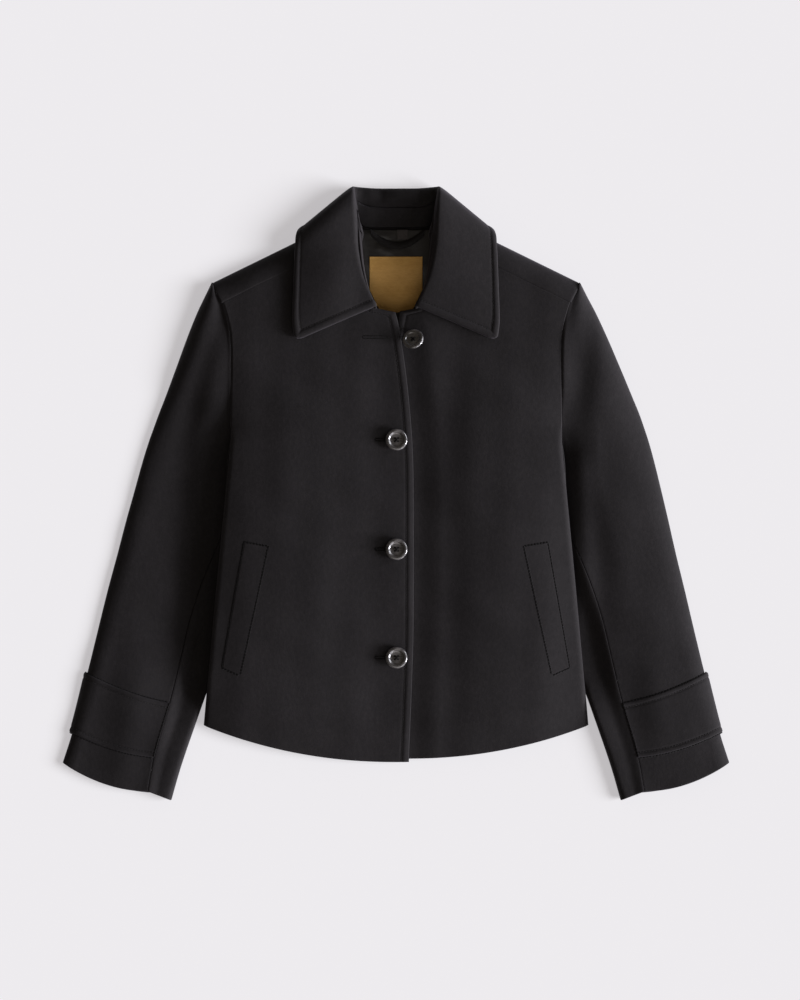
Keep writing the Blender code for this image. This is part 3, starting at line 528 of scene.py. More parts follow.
# Outer edge of the collar where it lies under the back
FALL_EDGE = table(
    "x y",
    (0.000, 0.272),
    (0.050, 0.272),
    (0.074, 0.275),
    (0.099, 0.291),
    (0.111, 0.302),
    (0.130, 0.335),
    (0.230, 0.500),
)
print(len(FRONT_NECK["share"]), "rows of neck seam")

# %% Outline tables of the sleeves
# Top sleeve: front seam, outer edge and back seam at places from the shoulder to the cuff, with the
# height of the seam, the crown, the outer edge and the underside, and how far the section bows down
SLEEVE = table(
    "place seam_x seam_y seam_z outer_x outer_y back_x back_y crown edge rest bow",
    (0.00, 0.2086, 0.2372, 0.0200, 0.2125, 0.2400, 0.2075, 0.2365, 0.0215, 0.0115, 0.0000, 0.000),
    (0.05, 0.2014, 0.2240, 0.0238, 0.2195, 0.2260, 0.1984, 0.2240, 0.0250, 0.0120, 0.0000, 0.000),
    (0.12, 0.1946, 0.2040, 0.0243, 0.2290, 0.2070, 0.1911, 0.2040, 0.0262, 0.0125, 0.0000, 0.000),
    (0.20, 0.1901, 0.1800, 0.0244, 0.2415, 0.1780, 0.1860, 0.1800, 0.0268, 0.0125, 0.0000, 0.000),
    (0.29, 0.1891, 0.1500, 0.0240, 0.2550, 0.1440, 0.1829, 0.1500, 0.0262, 0.0125, 0.0000, 0.000),
    (0.38, 0.1893, 0.1120, 0.0228, 0.2685, 0.1100, 0.1809, 0.1120, 0.0245, 0.0118, 0.0000, 0.000),
    (0.45, 0.1897, 0.0850, 0.0203, 0.2765, 0.0900, 0.1807, 0.0850, 0.0228, 0.0112, 0.0000, 0.000),
    (0.50, 0.1900, 0.0640, 0.0150, 0.2822, 0.0740, 0.1800, 0.0640, 0.0215, 0.0107, 0.0000, 0.000),
    (0.54, 0.1872, 0.0420, 0.0100, 0.2870, 0.0600, 0.1780, 0.0420, 0.0206, 0.0103, 0.0000, 0.000),
    (0.58, 0.1850, 0.0150, 0.0095, 0.2930, 0.0400, 0.1760, 0.0150, 0.0198, 0.0099, 0.0000, 0.000),
    (0.64, 0.1905, -0.0250, 0.0095, 0.3035, 0.0000, 0.1800, -0.0250, 0.0188, 0.0094, 0.0000, 0.000),
    (0.69, 0.2020, -0.0530, 0.0115, 0.3105, -0.0270, 0.1900, -0.0530, 0.0180, 0.0091, 0.0000, 0.000),
    (0.76, 0.2230, -0.1020, 0.0150, 0.3215, -0.0720, 0.2080, -0.1020, 0.0173, 0.0088, 0.0000, 0.001),
    (0.82, 0.2370, -0.1450, 0.0158, 0.3320, -0.1130, 0.2230, -0.1450, 0.0169, 0.0086, 0.0000, 0.002),
    (0.88, 0.2480, -0.1915, 0.0156, 0.3445, -0.1650, 0.2360, -0.1915, 0.0169, 0.0088, 0.0010, 0.003),
    (0.93, 0.2600, -0.2400, 0.0158, 0.3545, -0.2060, 0.2490, -0.2400, 0.0178, 0.0100, 0.0037, 0.004),
    (0.97, 0.2780, -0.3030, 0.0150, 0.3720, -0.2750, 0.2680, -0.3030, 0.0168, 0.0098, 0.0037, 0.005),
    (1.00, 0.2850, -0.3420, 0.0140, 0.3830, -0.3095, 0.2760, -0.3440, 0.0160, 0.0085, 0.0015, 0.008),
)
# Inner fold of the under sleeve: its line, and its height where it is pressed under the body
SLEEVE_INNER = table(
    "place x y height",
    (0.54, 0.1715, 0.0390, 0.0088),
    (0.58, 0.1680, 0.0110, 0.0088),
    (0.64, 0.1710, -0.0316, 0.0088),
    (0.69, 0.1750, -0.0650, 0.0089),
    (0.76, 0.1840, -0.1170, 0.0090),
    (0.82, 0.1955, -0.1600, 0.0091),
    (0.88, 0.2090, -0.2050, 0.0090),
    (0.93, 0.2260, -0.2530, 0.0118),
    (0.97, 0.2470, -0.3145, 0.0122),
    (1.00, 0.2580, -0.3525, 0.0110),
)
print(len(SLEEVE["place"]), "rows of sleeve")

# %% Outline table of the collar, and the trim
# Collar from the centre back round to its front end: neck side of the roll, fall side, outer edge
COLLAR = table(
    "place neck_x neck_y neck_z fall_x fall_y fall_z edge_x edge_y edge_z",
    (0.00, 0.0000, 0.3505, 0.0130, 0.0000, 0.3505, 0.0000, 0.0000, 0.2720, 0.0000),
    (0.18, 0.0280, 0.3510, 0.0132, 0.0280, 0.3510, 0.0000, 0.0360, 0.2720, 0.0000),
    (0.28, 0.0420, 0.3518, 0.0145, 0.0430, 0.3522, 0.0010, 0.0740, 0.2760, 0.0000),
    (0.34, 0.0465, 0.3520, 0.0190, 0.0490, 0.3530, 0.0080, 0.0990, 0.2925, 0.0010),
    (0.40, 0.0475, 0.3500, 0.0260, 0.0505, 0.3530, 0.0200, 0.1110, 0.3020, 0.0140),
    (0.46, 0.0475, 0.3450, 0.0320, 0.0505, 0.3490, 0.0310, 0.1150, 0.2970, 0.0240),
    (0.53, 0.0470, 0.3350, 0.0360, 0.0500, 0.3380, 0.0370, 0.1160, 0.2840, 0.0292),
    (0.64, 0.0460, 0.3140, 0.0380, 0.0490, 0.3150, 0.0400, 0.1170, 0.2620, 0.0302),
    (0.76, 0.0440, 0.2840, 0.0370, 0.0470, 0.2850, 0.0395, 0.1180, 0.2320, 0.0304),
    (0.88, 0.0365, 0.2480, 0.0350, 0.0390, 0.2490, 0.0375, 0.1190, 0.2000, 0.0304),
    (1.00, 0.0215, 0.2135, 0.0305, 0.0240, 0.2135, 0.0325, 0.1160, 0.1740, 0.0304),
)
# Pocket welts: the corners of the left one, from the top inner one round; the right is its mirror
WELT_CORNERS = ((0.1460, -0.0604), (0.1736, -0.0558), (0.1990, -0.1996), (0.1783, -0.2087))
TAB_PLACES = (0.930, 0.970)

# Inside the neck
LINING_HALF, LINING_FOOT_HALF, LINING_Y = 0.046, 0.040, (0.190, 0.3025)
LABEL_HALF, LABEL_FOOT_HALF, LABEL_Y = 0.0305, 0.0180, (0.2080, 0.2720)
LABEL_CHAMFER_Y = 0.2340
LOOP_CENTRE_X, LOOP_HALF, LOOP_BAND, LOOP_Y = 0.0015, 0.0310, 0.0092, (0.2845, 0.3000)
TAG_X, TAG_Y = (0.0012, 0.0138), (0.2915, 0.3030)

print(len(COLLAR["place"]), "rows of collar")


# %% Curves
def follow(rows, column, place):
    """A smooth curve through one column of a table, which never runs past its rows."""
    places = next(iter(rows.values()))
    values = rows[column]
    steps = np.diff(values) / np.diff(places)
    before, after = np.append(steps[0], steps), np.append(steps, steps[-1])
    most = 3 * np.minimum(np.abs(before), np.abs(after)) * (before * after > 0)
    slopes = np.clip(np.gradient(values, places), -most, most)
    place = np.clip(place, places[0], places[-1])
    k = np.clip(np.searchsorted(places, place, side="right") - 1, 0, len(places) - 2)
    span = places[k + 1] - places[k]
    t = (place - places[k]) / span
    rest = 1 - t
    start = (1 + 2 * t) * rest**2 * values[k] + t * rest**2 * span * slopes[k]
    return start + t**2 * (3 - 2 * t) * values[k + 1] - t**2 * rest * span * slopes[k + 1]


def plan_of(rows, place):
    return follow(rows, "x", place), follow(rows, "y", place)


def mix(start, end, share):
    return start + (end - start) * share


def ease(low, high, value):
    """0 below low, 1 above high and a soft step between them."""
    t = np.clip((value - low) / (high - low), 0, 1)
    return t * t * (3 - 2 * t)


def roll(share):
    """Height of a rolled edge: 0 at the edge, 1 where it has turned flat."""
    return np.sqrt(1 - (1 - np.clip(share, 0, 1)) ** 2)


print("half width at the hem:", round(float(follow(SIDE, "x", SIDE["y"][0])), 4))


# %% Heights of the fronts and the back
def hem_y(x):
    return HEM_CENTRE_Y + HEM_RISE * np.clip(np.abs(x) / HEM_HALF, 0, 1) ** HEM_CURVE


def front_height(x, y):
    """Outer face of the fronts above the floor."""
    edge = follow(SIDE, "z", y)
    inset = np.maximum(follow(SIDE, "x", y) - np.abs(x), 0)
    rise = follow(CROWN, "height", y) - edge
    rolled = ROLLED_SHARE * rise * (1 - ease(*ARMHOLE_BLEND, y))
    width = np.maximum(rolled**2 / FOLD_RADIUS, ROLL_LEAST)
    broad = 1 - (1 - np.clip(inset / BROAD_CROWN, 0, 1)) ** 3
    sunk = ease(*PLACKET_FOOT, y) * (1 - ease(*PLACKET_HEAD, y)) * (1 - ease(0, PLACKET_REACH, np.abs(x)))
    return edge + rolled * roll(inset / width) + (rise - rolled) * broad - PLACKET_SINK * sunk


INNER_BY_Y = {key: SLEEVE_INNER[key][::-1] for key in ("y", "x")}


def back_height(x, y):
    """Outer face of the back above the floor: flat, but for the sleeves and collar under it."""
    across = np.abs(x)
    inner = follow(INNER_BY_Y, "x", y)
    lift = follow(TUCK, "lift", y) * ease(inner - TUCK_RAMP, inner - TUCK_CLEAR, across)
    fall = follow(FALL_EDGE, "y", across)
    lift = lift + NECK_LIFT * ease(fall - NECK_RAMP, fall - NECK_CLEAR, y)
    edge = np.maximum(follow(BACK_SIDE, "z", y), lift)
    inset = follow(BACK_SIDE, "x", y) - across
    return lift + (edge - lift) * (1 - roll(inset / BACK_ROLL))


print("height at the middle button:", round(float(front_height(np.array(0.0), np.array(BUTTON_Y[1]))), 4))


# %% A sheet between four outlines
def patch(bottom, top, near, far, u, v):
    """The sheet between four outline curves: bottom and top along u, near and far along v."""
    sheet = []
    ends = np.zeros(1), np.ones(1)
    for k in range(2):
        low, high = bottom(u)[k], top(u)[k]
        start, end = near(v)[k], far(v)[k]
        corners = [bottom(ends[0])[k], bottom(ends[1])[k], top(ends[0])[k], top(ends[1])[k]]
        flat = mix(mix(corners[0], corners[1], u), mix(corners[2], corners[3], u), v)
        sheet.append(mix(low, high, v) + mix(start, end, u) - flat)
    return sheet


def stretches(u, *parts):
    """One outline from several curves, each with the share of u where it ends."""
    begin = 0.0
    total = [0.0, 0.0]
    for finish, curve in parts:
        place = np.clip((u - begin) / (finish - begin), 0, 1)
        here, origin = curve(place), curve(np.zeros(1))
        for k in range(2):
            total[k] = total[k] + here[k] - (origin[k] if begin else 0.0)
        begin = finish
    return total


def line(start, end):
    return lambda share: (mix(start[0], end[0], share), mix(start[1], end[1], share))


print("sheets can be drawn between outlines")

# %% The fronts
SHOULDER_RUN = (SHOULDER_TIP - SHOULDER_NECK) / np.linalg.norm(SHOULDER_TIP - SHOULDER_NECK)
SHOULDER_OUT = np.array((-SHOULDER_RUN[1], SHOULDER_RUN[0]))


def shoulder_seam(over):
    """The shoulder line, moved out by over."""
    return line(SHOULDER_NECK + over * SHOULDER_OUT, SHOULDER_TIP + over * SHOULDER_OUT)


def overlap_dip(x, y):
    """How far the front underneath is pressed down by the one on top."""
    edge = follow(OVER_EDGE, "x", y)
    return OVERLAP_DIP * (1 - ease(edge + OVERLAP_REACH[0], edge + OVERLAP_REACH[1], x))


def front_point(edge, shorter, dip, u, v):
    """Outer face of a front at +X; edge is its front edge's table."""
    edge_head = edge["x"][-1], edge["y"][-1]

    def bottom(share):
        x = mix(edge["x"][0], HEM_HALF, share)
        return x, hem_y(x) + shorter * (1 - np.abs(x) / HEM_HALF)

    def edge_line(share):
        y = mix(bottom(np.zeros(1))[1], edge_head[1], share)
        return follow(edge, "x", y), y

    def near(share):
        notch = line(edge_head, (FRONT_NECK["x"][0], FRONT_NECK["y"][0]))
        neck = lambda t: plan_of(FRONT_NECK, t)
        return stretches(share, (EDGE_SHARE, edge_line), (NOTCH_SHARE, notch), (1.0, neck))

    def far(share):
        y = mix(bottom(np.ones(1))[1], SIDE["y"][-1], share)
        return follow(SIDE, "x", y), y

    x, y = patch(bottom, shoulder_seam(-SHOULDER_OVER), near, far, u, v)
    z = front_height(x, y)
    if dip:
        z = z - overlap_dip(x, y)
    return np.stack((x, y, z), -1)


MIRRORED_OVER_EDGE = {"y": OVER_EDGE["y"], "x": -OVER_EDGE["x"]}


def front_left_point(u, v):
    return front_point(UNDER_EDGE, UNDER_FRONT_SHORTER, True, u, v)


def front_right_point(u, v):
    return front_point(MIRRORED_OVER_EDGE, 0.0, False, u, v) * (-1, 1, 1)


print("shoulder runs", SHOULDER_RUN.round(3))


# %% The back
def turned_over(x, y):
    """Where a point of the flat back panel lies: on the floor, or turned over the shoulder."""
    beyond = (x - SHOULDER_NECK[0]) * SHOULDER_OUT[0] + (y - SHOULDER_NECK[1]) * SHOULDER_OUT[1]
    lower = np.clip(1 + beyond / SHOULDER_UNDER, 0, 1) * math.pi / 2
    upper = np.clip(beyond / SHOULDER_OVER, 0, 1) * math.pi / 2
    below = beyond < 0
    inset = np.where(below, SHOULDER_UNDER * (1 - np.sin(lower)), SHOULDER_OVER * (1 - np.cos(upper)))
    inset = np.where(beyond < -SHOULDER_UNDER, -beyond, inset)
    plan_x = x - (beyond + inset) * SHOULDER_OUT[0]
    plan_y = y - (beyond + inset) * SHOULDER_OUT[1]
    floor = back_height(plan_x, plan_y)
    rising = floor + (SHOULDER_FOLD - floor) * (1 - np.cos(lower))
    over = SHOULDER_FOLD + (front_height(plan_x, plan_y) - SHOULDER_FOLD) * np.sin(upper)
    return np.stack((plan_x, plan_y, np.where(below, rising, over)), -1)


def back_point(u, v):
    """Outer face of the back; u runs from the left side of the sheet at -1 to the right at 1."""

    def bottom(share):
        x = mix(0.0, BACK_SIDE["x"][0], share)
        return x, hem_y(x) + BACK_SHORTER

    def top(share):
        neck = lambda t: plan_of(BACK_NECK, t)
        return stretches(share, (BACK_NECK_SHARE, neck), (1.0, shoulder_seam(SHOULDER_OVER)))

    def near(share):
        return 0.0 * share, mix(HEM_CENTRE_Y + BACK_SHORTER, BACK_NECK["y"][0], share)

    def far(share):
        y = mix(bottom(np.ones(1))[1], BACK_SIDE["y"][-1], share)
        return follow(BACK_SIDE, "x", y), y

    points = turned_over(*patch(bottom, top, near, far, np.abs(u), v))
    points[..., 0] *= np.sign(u)
    return points


print("back neck at", back_point(np.array(JUST_OFF_CENTRE), np.array(1.0)).round(4))


# %% The arms
def girth(at, tip, crown, edge, bow, w):
    """A sleeve's section from the front seam at w 0, round its folded edge, to the back seam at w 1."""
    seam, back = (at["seam_x"], at["seam_y"]), (at["back_x"], at["back_y"])
    seam_z, rest = at["seam_z"], at["rest"]
    length = np.hypot(tip[0] - seam[0], tip[1] - seam[1])
    under = np.hypot(tip[0] - back[0], tip[1] - back[1])
    over_roll = np.minimum((crown - edge) ** 2 / FOLD_RADIUS, ROLL_MOST * length)
    under_roll = np.minimum((edge - rest) ** 2 / FOLD_RADIUS, ROLL_MOST * under)
    run = np.clip(w / RUN_END, 0, 1)
    fold = np.clip((TIP - w) / (TIP - RUN_END), 0, 1) * math.pi / 2
    tuck = np.clip((w - TIP) / (FLOOR_START - TIP), 0, 1) * math.pi / 2
    floor = np.clip((w - FLOOR_START) / (1 - FLOOR_START), 0, 1)
    inset = mix(length, over_roll, run) * (w < RUN_END)
    inset = np.where(w >= RUN_END, over_roll * (1 - np.cos(fold)), inset)
    share = 1 - inset / length
    height = seam_z + (crown - seam_z) * ease(0, SLEEVE_RISE, share)
    top = edge + (height - edge) * np.sin(fold)
    behind = np.where(w > FLOOR_START, mix(under_roll, under, floor), under_roll * (1 - np.cos(tuck)))
    back_share = 1 - behind / under
    bottom = edge - (edge - rest) * np.sin(tuck)
    upper = w < TIP
    x = np.where(upper, mix(seam[0], tip[0], share), mix(back[0], tip[0], back_share))
    y = np.where(upper, mix(seam[1], tip[1], share), mix(back[1], tip[1], back_share))
    reach = np.where(upper, share, back_share)
    y = y - bow * 4 * reach * (1 - reach)
    return np.stack((x, y, np.where(upper, top, bottom)), -1)


def sleeve_at(place):
    return {name: follow(SLEEVE, name, place) for name in SLEEVE}


def sleeve_top_point(w, place, fuller):
    """Outer face of the top sleeve at +X; w runs round it, place from the shoulder to the cuff."""
    at = sleeve_at(place)
    outer_x = at["outer_x"] + fuller * np.sin(math.pi * np.clip(place / ARM_FULLER_END, 0, 1)) ** 2
    return girth(at, (outer_x, at["outer_y"]), at["crown"], at["edge"], at["bow"], w)


def sleeve_under_point(w, place):
    """Outer face of the under sleeve at +X, from the front seam round the inner fold to the back seam."""
    at = sleeve_at(place)
    height = follow(SLEEVE_INNER, "height", place)
    return girth(at, plan_of(SLEEVE_INNER, place), height, (height + at["rest"]) / 2, 0.0, w)


print("cuff's outer corner at", sleeve_top_point(np.array(TIP), np.array(1.0), 0.0).round(4))


# %% The collar
def neck_seam(place):
    """The neck seam on the body's outer face, from the centre back at 0 to the collar's end at 1."""
    back_share = np.clip(place / NECK_SEAM_PLACE, 0, 1) * BACK_NECK_SHARE
    front_share = np.clip((place - NECK_SEAM_PLACE) / (1 - NECK_SEAM_PLACE), 0, 1)
    behind = back_point(np.maximum(back_share, JUST_OFF_CENTRE), np.ones_like(place))
    down = mix(1.0, NOTCH_SHARE, front_share)
    ahead = front_point(MIRRORED_OVER_EDGE, 0.0, False, np.zeros_like(place), down)
    return np.where((place < NECK_SEAM_PLACE)[..., None], behind, ahead)


def collar_row(name, place):
    return np.stack([follow(COLLAR, f"{name}_{axis}", place) for axis in "xyz"], -1)


def stand_line(place, share):
    """The collar stand's neck-side face, from the neck seam at share 0 to the fall's seam at 1."""
    rise = mix(STAND_RISE_BACK, STAND_RISE_FRONT, ease(*STAND_RISE_PLACES, place))
    seam = neck_seam(place)
    seam[..., 2] += rise
    return mix(seam, collar_row("neck", place), share[..., None] * STAND_SHARE)


def bend(start, control, end, t):
    t = t[..., None]
    return start * (1 - t) ** 2 + control * 2 * t * (1 - t) + end * t**2


def third(t, k):
    """How far t has come through one of the three thirds of its run, counted from 0."""
    return np.clip(t * 3 - k, 0, 1)


def to_side(points, along):
    """Turns points of the left half over to the right where along is below 0."""
    points[..., 0] *= np.where(along < 0, -1.0, 1.0)
    return points


def collar_fall_point(t, along):
    """Upper face of the fall: from the stand's seam at t 0, over the roll, to the outer edge at t 1."""
    place = np.abs(along)
    seam = stand_line(place, np.ones_like(place))
    neck, fall, edge = (collar_row(name, place) for name in ("neck", "fall", "edge"))
    top, middle = (neck + fall) / 2, mix(fall, edge, 0.5)
    leg = (fall + middle) / 2
    first = bend(seam, neck, top, third(t, 0))
    second = bend(top, fall, leg, third(t, 1))
    last = bend(leg, middle, edge, third(t, 2))
    points = np.where((t < 2 / 3)[..., None], second, last)
    return to_side(np.where((t < 1 / 3)[..., None], first, points), along)


def collar_stand_point(share, along):
    return to_side(stand_line(np.abs(along), share), along)


print("collar's point at", collar_row("edge", np.array(1.0)).round(4))

# %% Normals, mirrors and what lies on the lining
NORMAL_STEP = 2e-4


def facing(surface, u, v, limits, step=NORMAL_STEP):
    """Unit normals of a surface, from small steps kept inside its limits."""
    (u_low, u_high), (v_low, v_high) = limits
    along_u = surface(np.minimum(u + step, u_high), v) - surface(np.maximum(u - step, u_low), v)
    along_v = surface(u, np.minimum(v + step, v_high)) - surface(u, np.maximum(v - step, v_low))
    normal = np.cross(along_u, along_v)
    return normal / np.linalg.norm(normal, axis=-1, keepdims=True)


def raised(surface, limits, by, sign):
    """The same surface, moved out along its normals."""
    return lambda u, v: surface(u, v) + sign * by * facing(surface, u, v, limits)


def mirror(surface):
    return lambda u, v: surface(u, v) * (-1, 1, 1)


def on_lining(x, y, above):
    return np.stack((x, y, back_height(x, y) + CLOTH_WALL + LINING_LIE + LINING_WALL + above), -1)


print("lining's foot at", on_lining(np.array(0.0), np.array(LINING_Y[0]), 0.0).round(4))

# %% [markdown]
# ## Creases that the lying cloth has taken
# Wool that has been worn and laid out keeps soft troughs and ridges: down the arms and their cuffs,
# beside the buttons, and over the roll of the collar. A simulation would place them anywhere, so each
# one is listed instead, with its own length, width and height, and the cloth between them gets
# a faint uneven wave. All are worked out from the place on the floor, so a crease runs on across a seam.

# %% Where the creases lie
# Start and end on the plan, half width and height; a height below 0 is a trough
CREASES = (
    (0.2060, 0.0400, 0.2240, -0.4200, 0.0400, -0.0045),
    (0.0560, 0.2400, 0.0620, -0.4200, 0.0280, -0.0020),
)
ARM_CREASES = (
    (0.2297, 0.3000, 0.2080, 0.0500, 0.0160, -0.0034),
    (0.1915, 0.2150, 0.1880, 0.0850, 0.0110, 0.0016),
    (0.2030, 0.1000, 0.2220, -0.1600, 0.0140, 0.0034),
    (0.2320, 0.2800, 0.4300, -0.4700, 0.0320, -0.0045),
    (-0.2120, 0.3600, -0.4090, -0.5500, 0.0420, -0.0045),
    (-0.1905, 0.2500, -0.2540, 0.0300, 0.0140, -0.0032),
    (-0.2280, 0.1500, -0.2480, -0.3200, 0.0400, -0.0095),
    (-0.2105, -0.2000, -0.2940, -0.4200, 0.0220, 0.0030),
    (0.2105, -0.2000, 0.2940, -0.4200, 0.0220, 0.0034),
)
ARM_CLEAR = 0.005
LINING_CREASES = (
    (-0.0360, 0.3010, -0.0020, 0.2930, 0.0036, 0.0011),
    (-0.0260, 0.2850, -0.0010, 0.2740, 0.0040, 0.0010),
    (-0.0430, 0.3020, -0.0350, 0.2560, 0.0050, 0.0012),
    (0.0080, 0.2920, 0.0320, 0.2600, 0.0060, -0.0006),
    (0.0480, 0.3250, 0.0410, 0.1950, 0.0105, 0.0034),
)
ROLL_CREASES = (
    (-0.0480, 0.3900, -0.0360, 0.1700, 0.0220, -0.0040),
    (-0.0400, 0.3700, -0.1300, 0.2750, 0.0220, 0.0045),
    (-0.0190, 0.3560, -0.0150, 0.3300, 0.0060, -0.0014),
    (0.0020, 0.3560, 0.0030, 0.3340, 0.0090, 0.0012),
    (0.0240, 0.3560, 0.0280, 0.3330, 0.0060, -0.0012),
    (-0.0330, 0.3560, -0.0300, 0.3340, 0.0070, 0.0010),
)
print(len(CREASES + ARM_CREASES + LINING_CREASES + ROLL_CREASES), "creases placed by hand")

# %% Creases and waves
WAVE_SEED, WAVE_COUNT = 7, 12
WAVE_LENGTH, WAVE_SPREAD, WAVE_HEIGHT = 0.070, (0.6, 1.9), 0.00045
CREASE_ENDS = (0.30, 0.65)


def crease(x, y, row):
    """One soft trough or ridge, which fades out towards its two ends."""
    x0, y0, x1, y1, half_width, height = row
    length = math.hypot(x1 - x0, y1 - y0)
    run_x, run_y = (x1 - x0) / length, (y1 - y0) / length
    along = ((x - x0) * run_x + (y - y0) * run_y) / length
    aside = (y - y0) * run_x - (x - x0) * run_y
    fade = ease(0, CREASE_ENDS[0], along) * (1 - ease(CREASE_ENDS[1], 1, along))
    return height * np.exp(-((aside / half_width) ** 2)) * fade


def waves(x, y):
    """A faint uneven swell of the cloth, the same each time."""
    chance = np.random.default_rng(WAVE_SEED)
    total = np.zeros_like(x)
    for _ in range(WAVE_COUNT):
        bearing, start = chance.uniform(0, math.tau, 2)
        length = WAVE_LENGTH * chance.uniform(*WAVE_SPREAD)
        total += np.sin(math.tau * (x * math.cos(bearing) + y * math.sin(bearing)) / length + start)
    return WAVE_HEIGHT * total / math.sqrt(WAVE_COUNT)


def lies_with(*creases, wavy=True):
    """How far cloth with these creases stands above or below its plain form."""

    def lie(x, y):
        total = waves(x, y) if wavy else np.zeros_like(x)
        for row in creases:
            total = total + crease(x, y, row)
        return total

    return lie


coat_lie = lies_with(*CREASES)
arm_creases = lies_with(*ARM_CREASES, wavy=False)
lining_lie = lies_with(*LINING_CREASES, wavy=False)
collar_lie = lies_with(*ROLL_CREASES, wavy=False)


def arm_lie(x, y):
    """How a sleeve lies: its creases begin where it comes out from under the body."""
    return waves(x, y) + arm_creases(x, y) * ease(0, ARM_CLEAR, np.abs(x) - follow(SIDE, "x", y))


print("cloth swells by up to about", 2 * WAVE_HEIGHT)

# %% [markdown]
# ## Sewing a piece
# Each cut piece is sampled as a grid that is finest at its edges, because that is where tailoring
# shows: a folded edge is round, a seam sinks between its two pieces, and a row of topstitching pulls a
# groove and leaves a puffed rim outside it. The grid's outer face gets that relief, the inner face
# follows one wall behind, and both are closed into one thin shell. A modifier could thicken a sheet in
# one line, but it could not tell a fold from a seam.

# %% Grids that are finest at the edges
CLOSE_STEP, STEP_GROWTH, FINE_PLACES = 0.00045, 1.22, 1601


def arc_lengths(points, axis):
    """How far each point of a grid lies from the grid's first line along one axis."""
    steps = np.linalg.norm(np.diff(points, axis=axis), axis=-1)
    start = np.zeros_like(np.take(steps, [0], axis=axis))
    return np.concatenate((start, np.cumsum(steps, axis=axis)), axis=axis)


def edge_rows(close, step):
    """Distances from an edge: even and close at first, then further and further apart."""
    gaps = [CLOSE_STEP] * math.ceil(close / CLOSE_STEP)
    while gaps[-1] * STEP_GROWTH < step:
        gaps.append(gaps[-1] * STEP_GROWTH)
    return np.cumsum(gaps)


def places_along(surface, limits, axis, beside, step, closes, keep):
    """Parameter values along one axis, spaced by real distance on the line at beside."""
    fine = np.linspace(*limits[axis], FINE_PLACES)
    other = np.full_like(fine, beside)
    length = arc_lengths(surface(fine, other) if axis == 0 else surface(other, fine), 0)
    first, last = edge_rows(closes[0], step), length[-1] - edge_rows(closes[1], step)[::-1]
    count = max(2, round((last[0] - first[-1]) / step))
    middle = np.linspace(first[-1], last[0], count + 1)[1:-1]
    distance = np.concatenate(((0.0,), first, middle, last, (length[-1],)))
    values = np.interp(distance, length, fine)
    for exact in keep:
        values[np.argmin(np.abs(values - exact))] = exact
    return values


print("closest rows, metres apart:", CLOSE_STEP)

# %% Edges: folds, seams and topstitching
RIM_SHARE = 0.96
SEAM_REACH = 0.0017
STITCH_DEPTH, STITCH_HALF, STITCH_CLOSE = 0.00030, 0.0015, 0.0018
RIM_PUFF, PUFF_SHAPE = 0.0009, 0.8
STITCH_SWELL, STITCH_SWELL_RISE, STITCH_SWELL_REACH = 0.0001, 0.004, 0.012

# How far in from an edge the grid stays close, and how far a seam sinks; an edge with no drop is folded
FOLD = {"close": 0.0014}
SEAM = {"close": 0.0030, "drop": 0.0005}
SOFT_SEAM = {"close": 0.0030, "drop": 0.00012}
FLUSH_SEAM = {"close": 0.0030, "drop": 0.0}
FOLDED_ROUND, SEWN_ROUND = (FOLD,) * 4, (SEAM,) * 4


def topstitched(inset, puff=RIM_PUFF, depth=STITCH_DEPTH):
    return {"close": inset + STITCH_CLOSE, "stitch": inset, "puff": puff, "depth": depth}


def fold_rim(distance, wall):
    """How far the two faces draw together at a folded edge, so that its rim is round."""
    radius = RIM_SHARE * wall / 2
    short = np.clip(radius - distance, 0, radius)
    return radius - np.sqrt(radius**2 - short**2)


def seam_relief(distance, drop):
    return -drop * (1 - ease(0, SEAM_REACH, distance))


def stitch_relief(distance, inset, rim_puff, depth):
    """A groove along the stitches, a puffed rim outside them and a soft swell inside them."""
    groove = depth * np.exp(-(((distance - inset) / STITCH_HALF) ** 2))
    puff = rim_puff * np.sin(math.pi * np.clip(distance / inset, 0, 1)) ** PUFF_SHAPE
    beyond = np.clip(distance - inset, 0, None)
    swell = STITCH_SWELL * ease(0, STITCH_SWELL_RISE, beyond) * np.exp(-beyond / STITCH_SWELL_REACH)
    return puff + swell - groove


print("stitches pull the cloth in by", STITCH_DEPTH)


# %% Closing a grid into a shell
def shell_mesh(name, outer, inner, flip):
    columns, rows = outer.shape[:2]
    count = columns * rows
    index = np.arange(count).reshape(columns, rows)
    quads = np.stack((index[:-1, :-1], index[1:, :-1], index[1:, 1:], index[:-1, 1:]), -1).reshape(-1, 4)
    border = np.concatenate((index[:, 0], index[-1, 1:], index[-2::-1, -1], index[0, -2:0:-1]))
    after = np.roll(border, -1)
    rim = np.stack((after, border, border + count, after + count), -1)
    faces = np.concatenate((quads, quads[:, ::-1] + count, rim))
    if flip:
        faces = faces[:, ::-1]
    mesh = bpy.data.meshes.new(name)
    mesh.from_pydata(np.concatenate((outer.reshape(-1, 3), inner.reshape(-1, 3))), [], faces.tolist())
    mesh.shade_smooth()
    return mesh


def add_piece(name, mesh, material, slot, *nodes):
    """Puts a piece in the scene, on the coat's one body, in place of its CAD nodes."""
    piece = bpy.data.objects.new(name, mesh)
    mesh.materials.append(material)
    scene.collection.objects.link(piece)
    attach(piece, "root")
    if nodes:
        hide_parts(*nodes)
    return piece


print("shells can be closed and put in place")

# %% Blunt corners and lapped seams
LIE_FULL, LAP_FADE, TINY = 0.012, 0.05, 1e-9
SIDES = ("start", "end", "foot", "head")
SEWN = {}


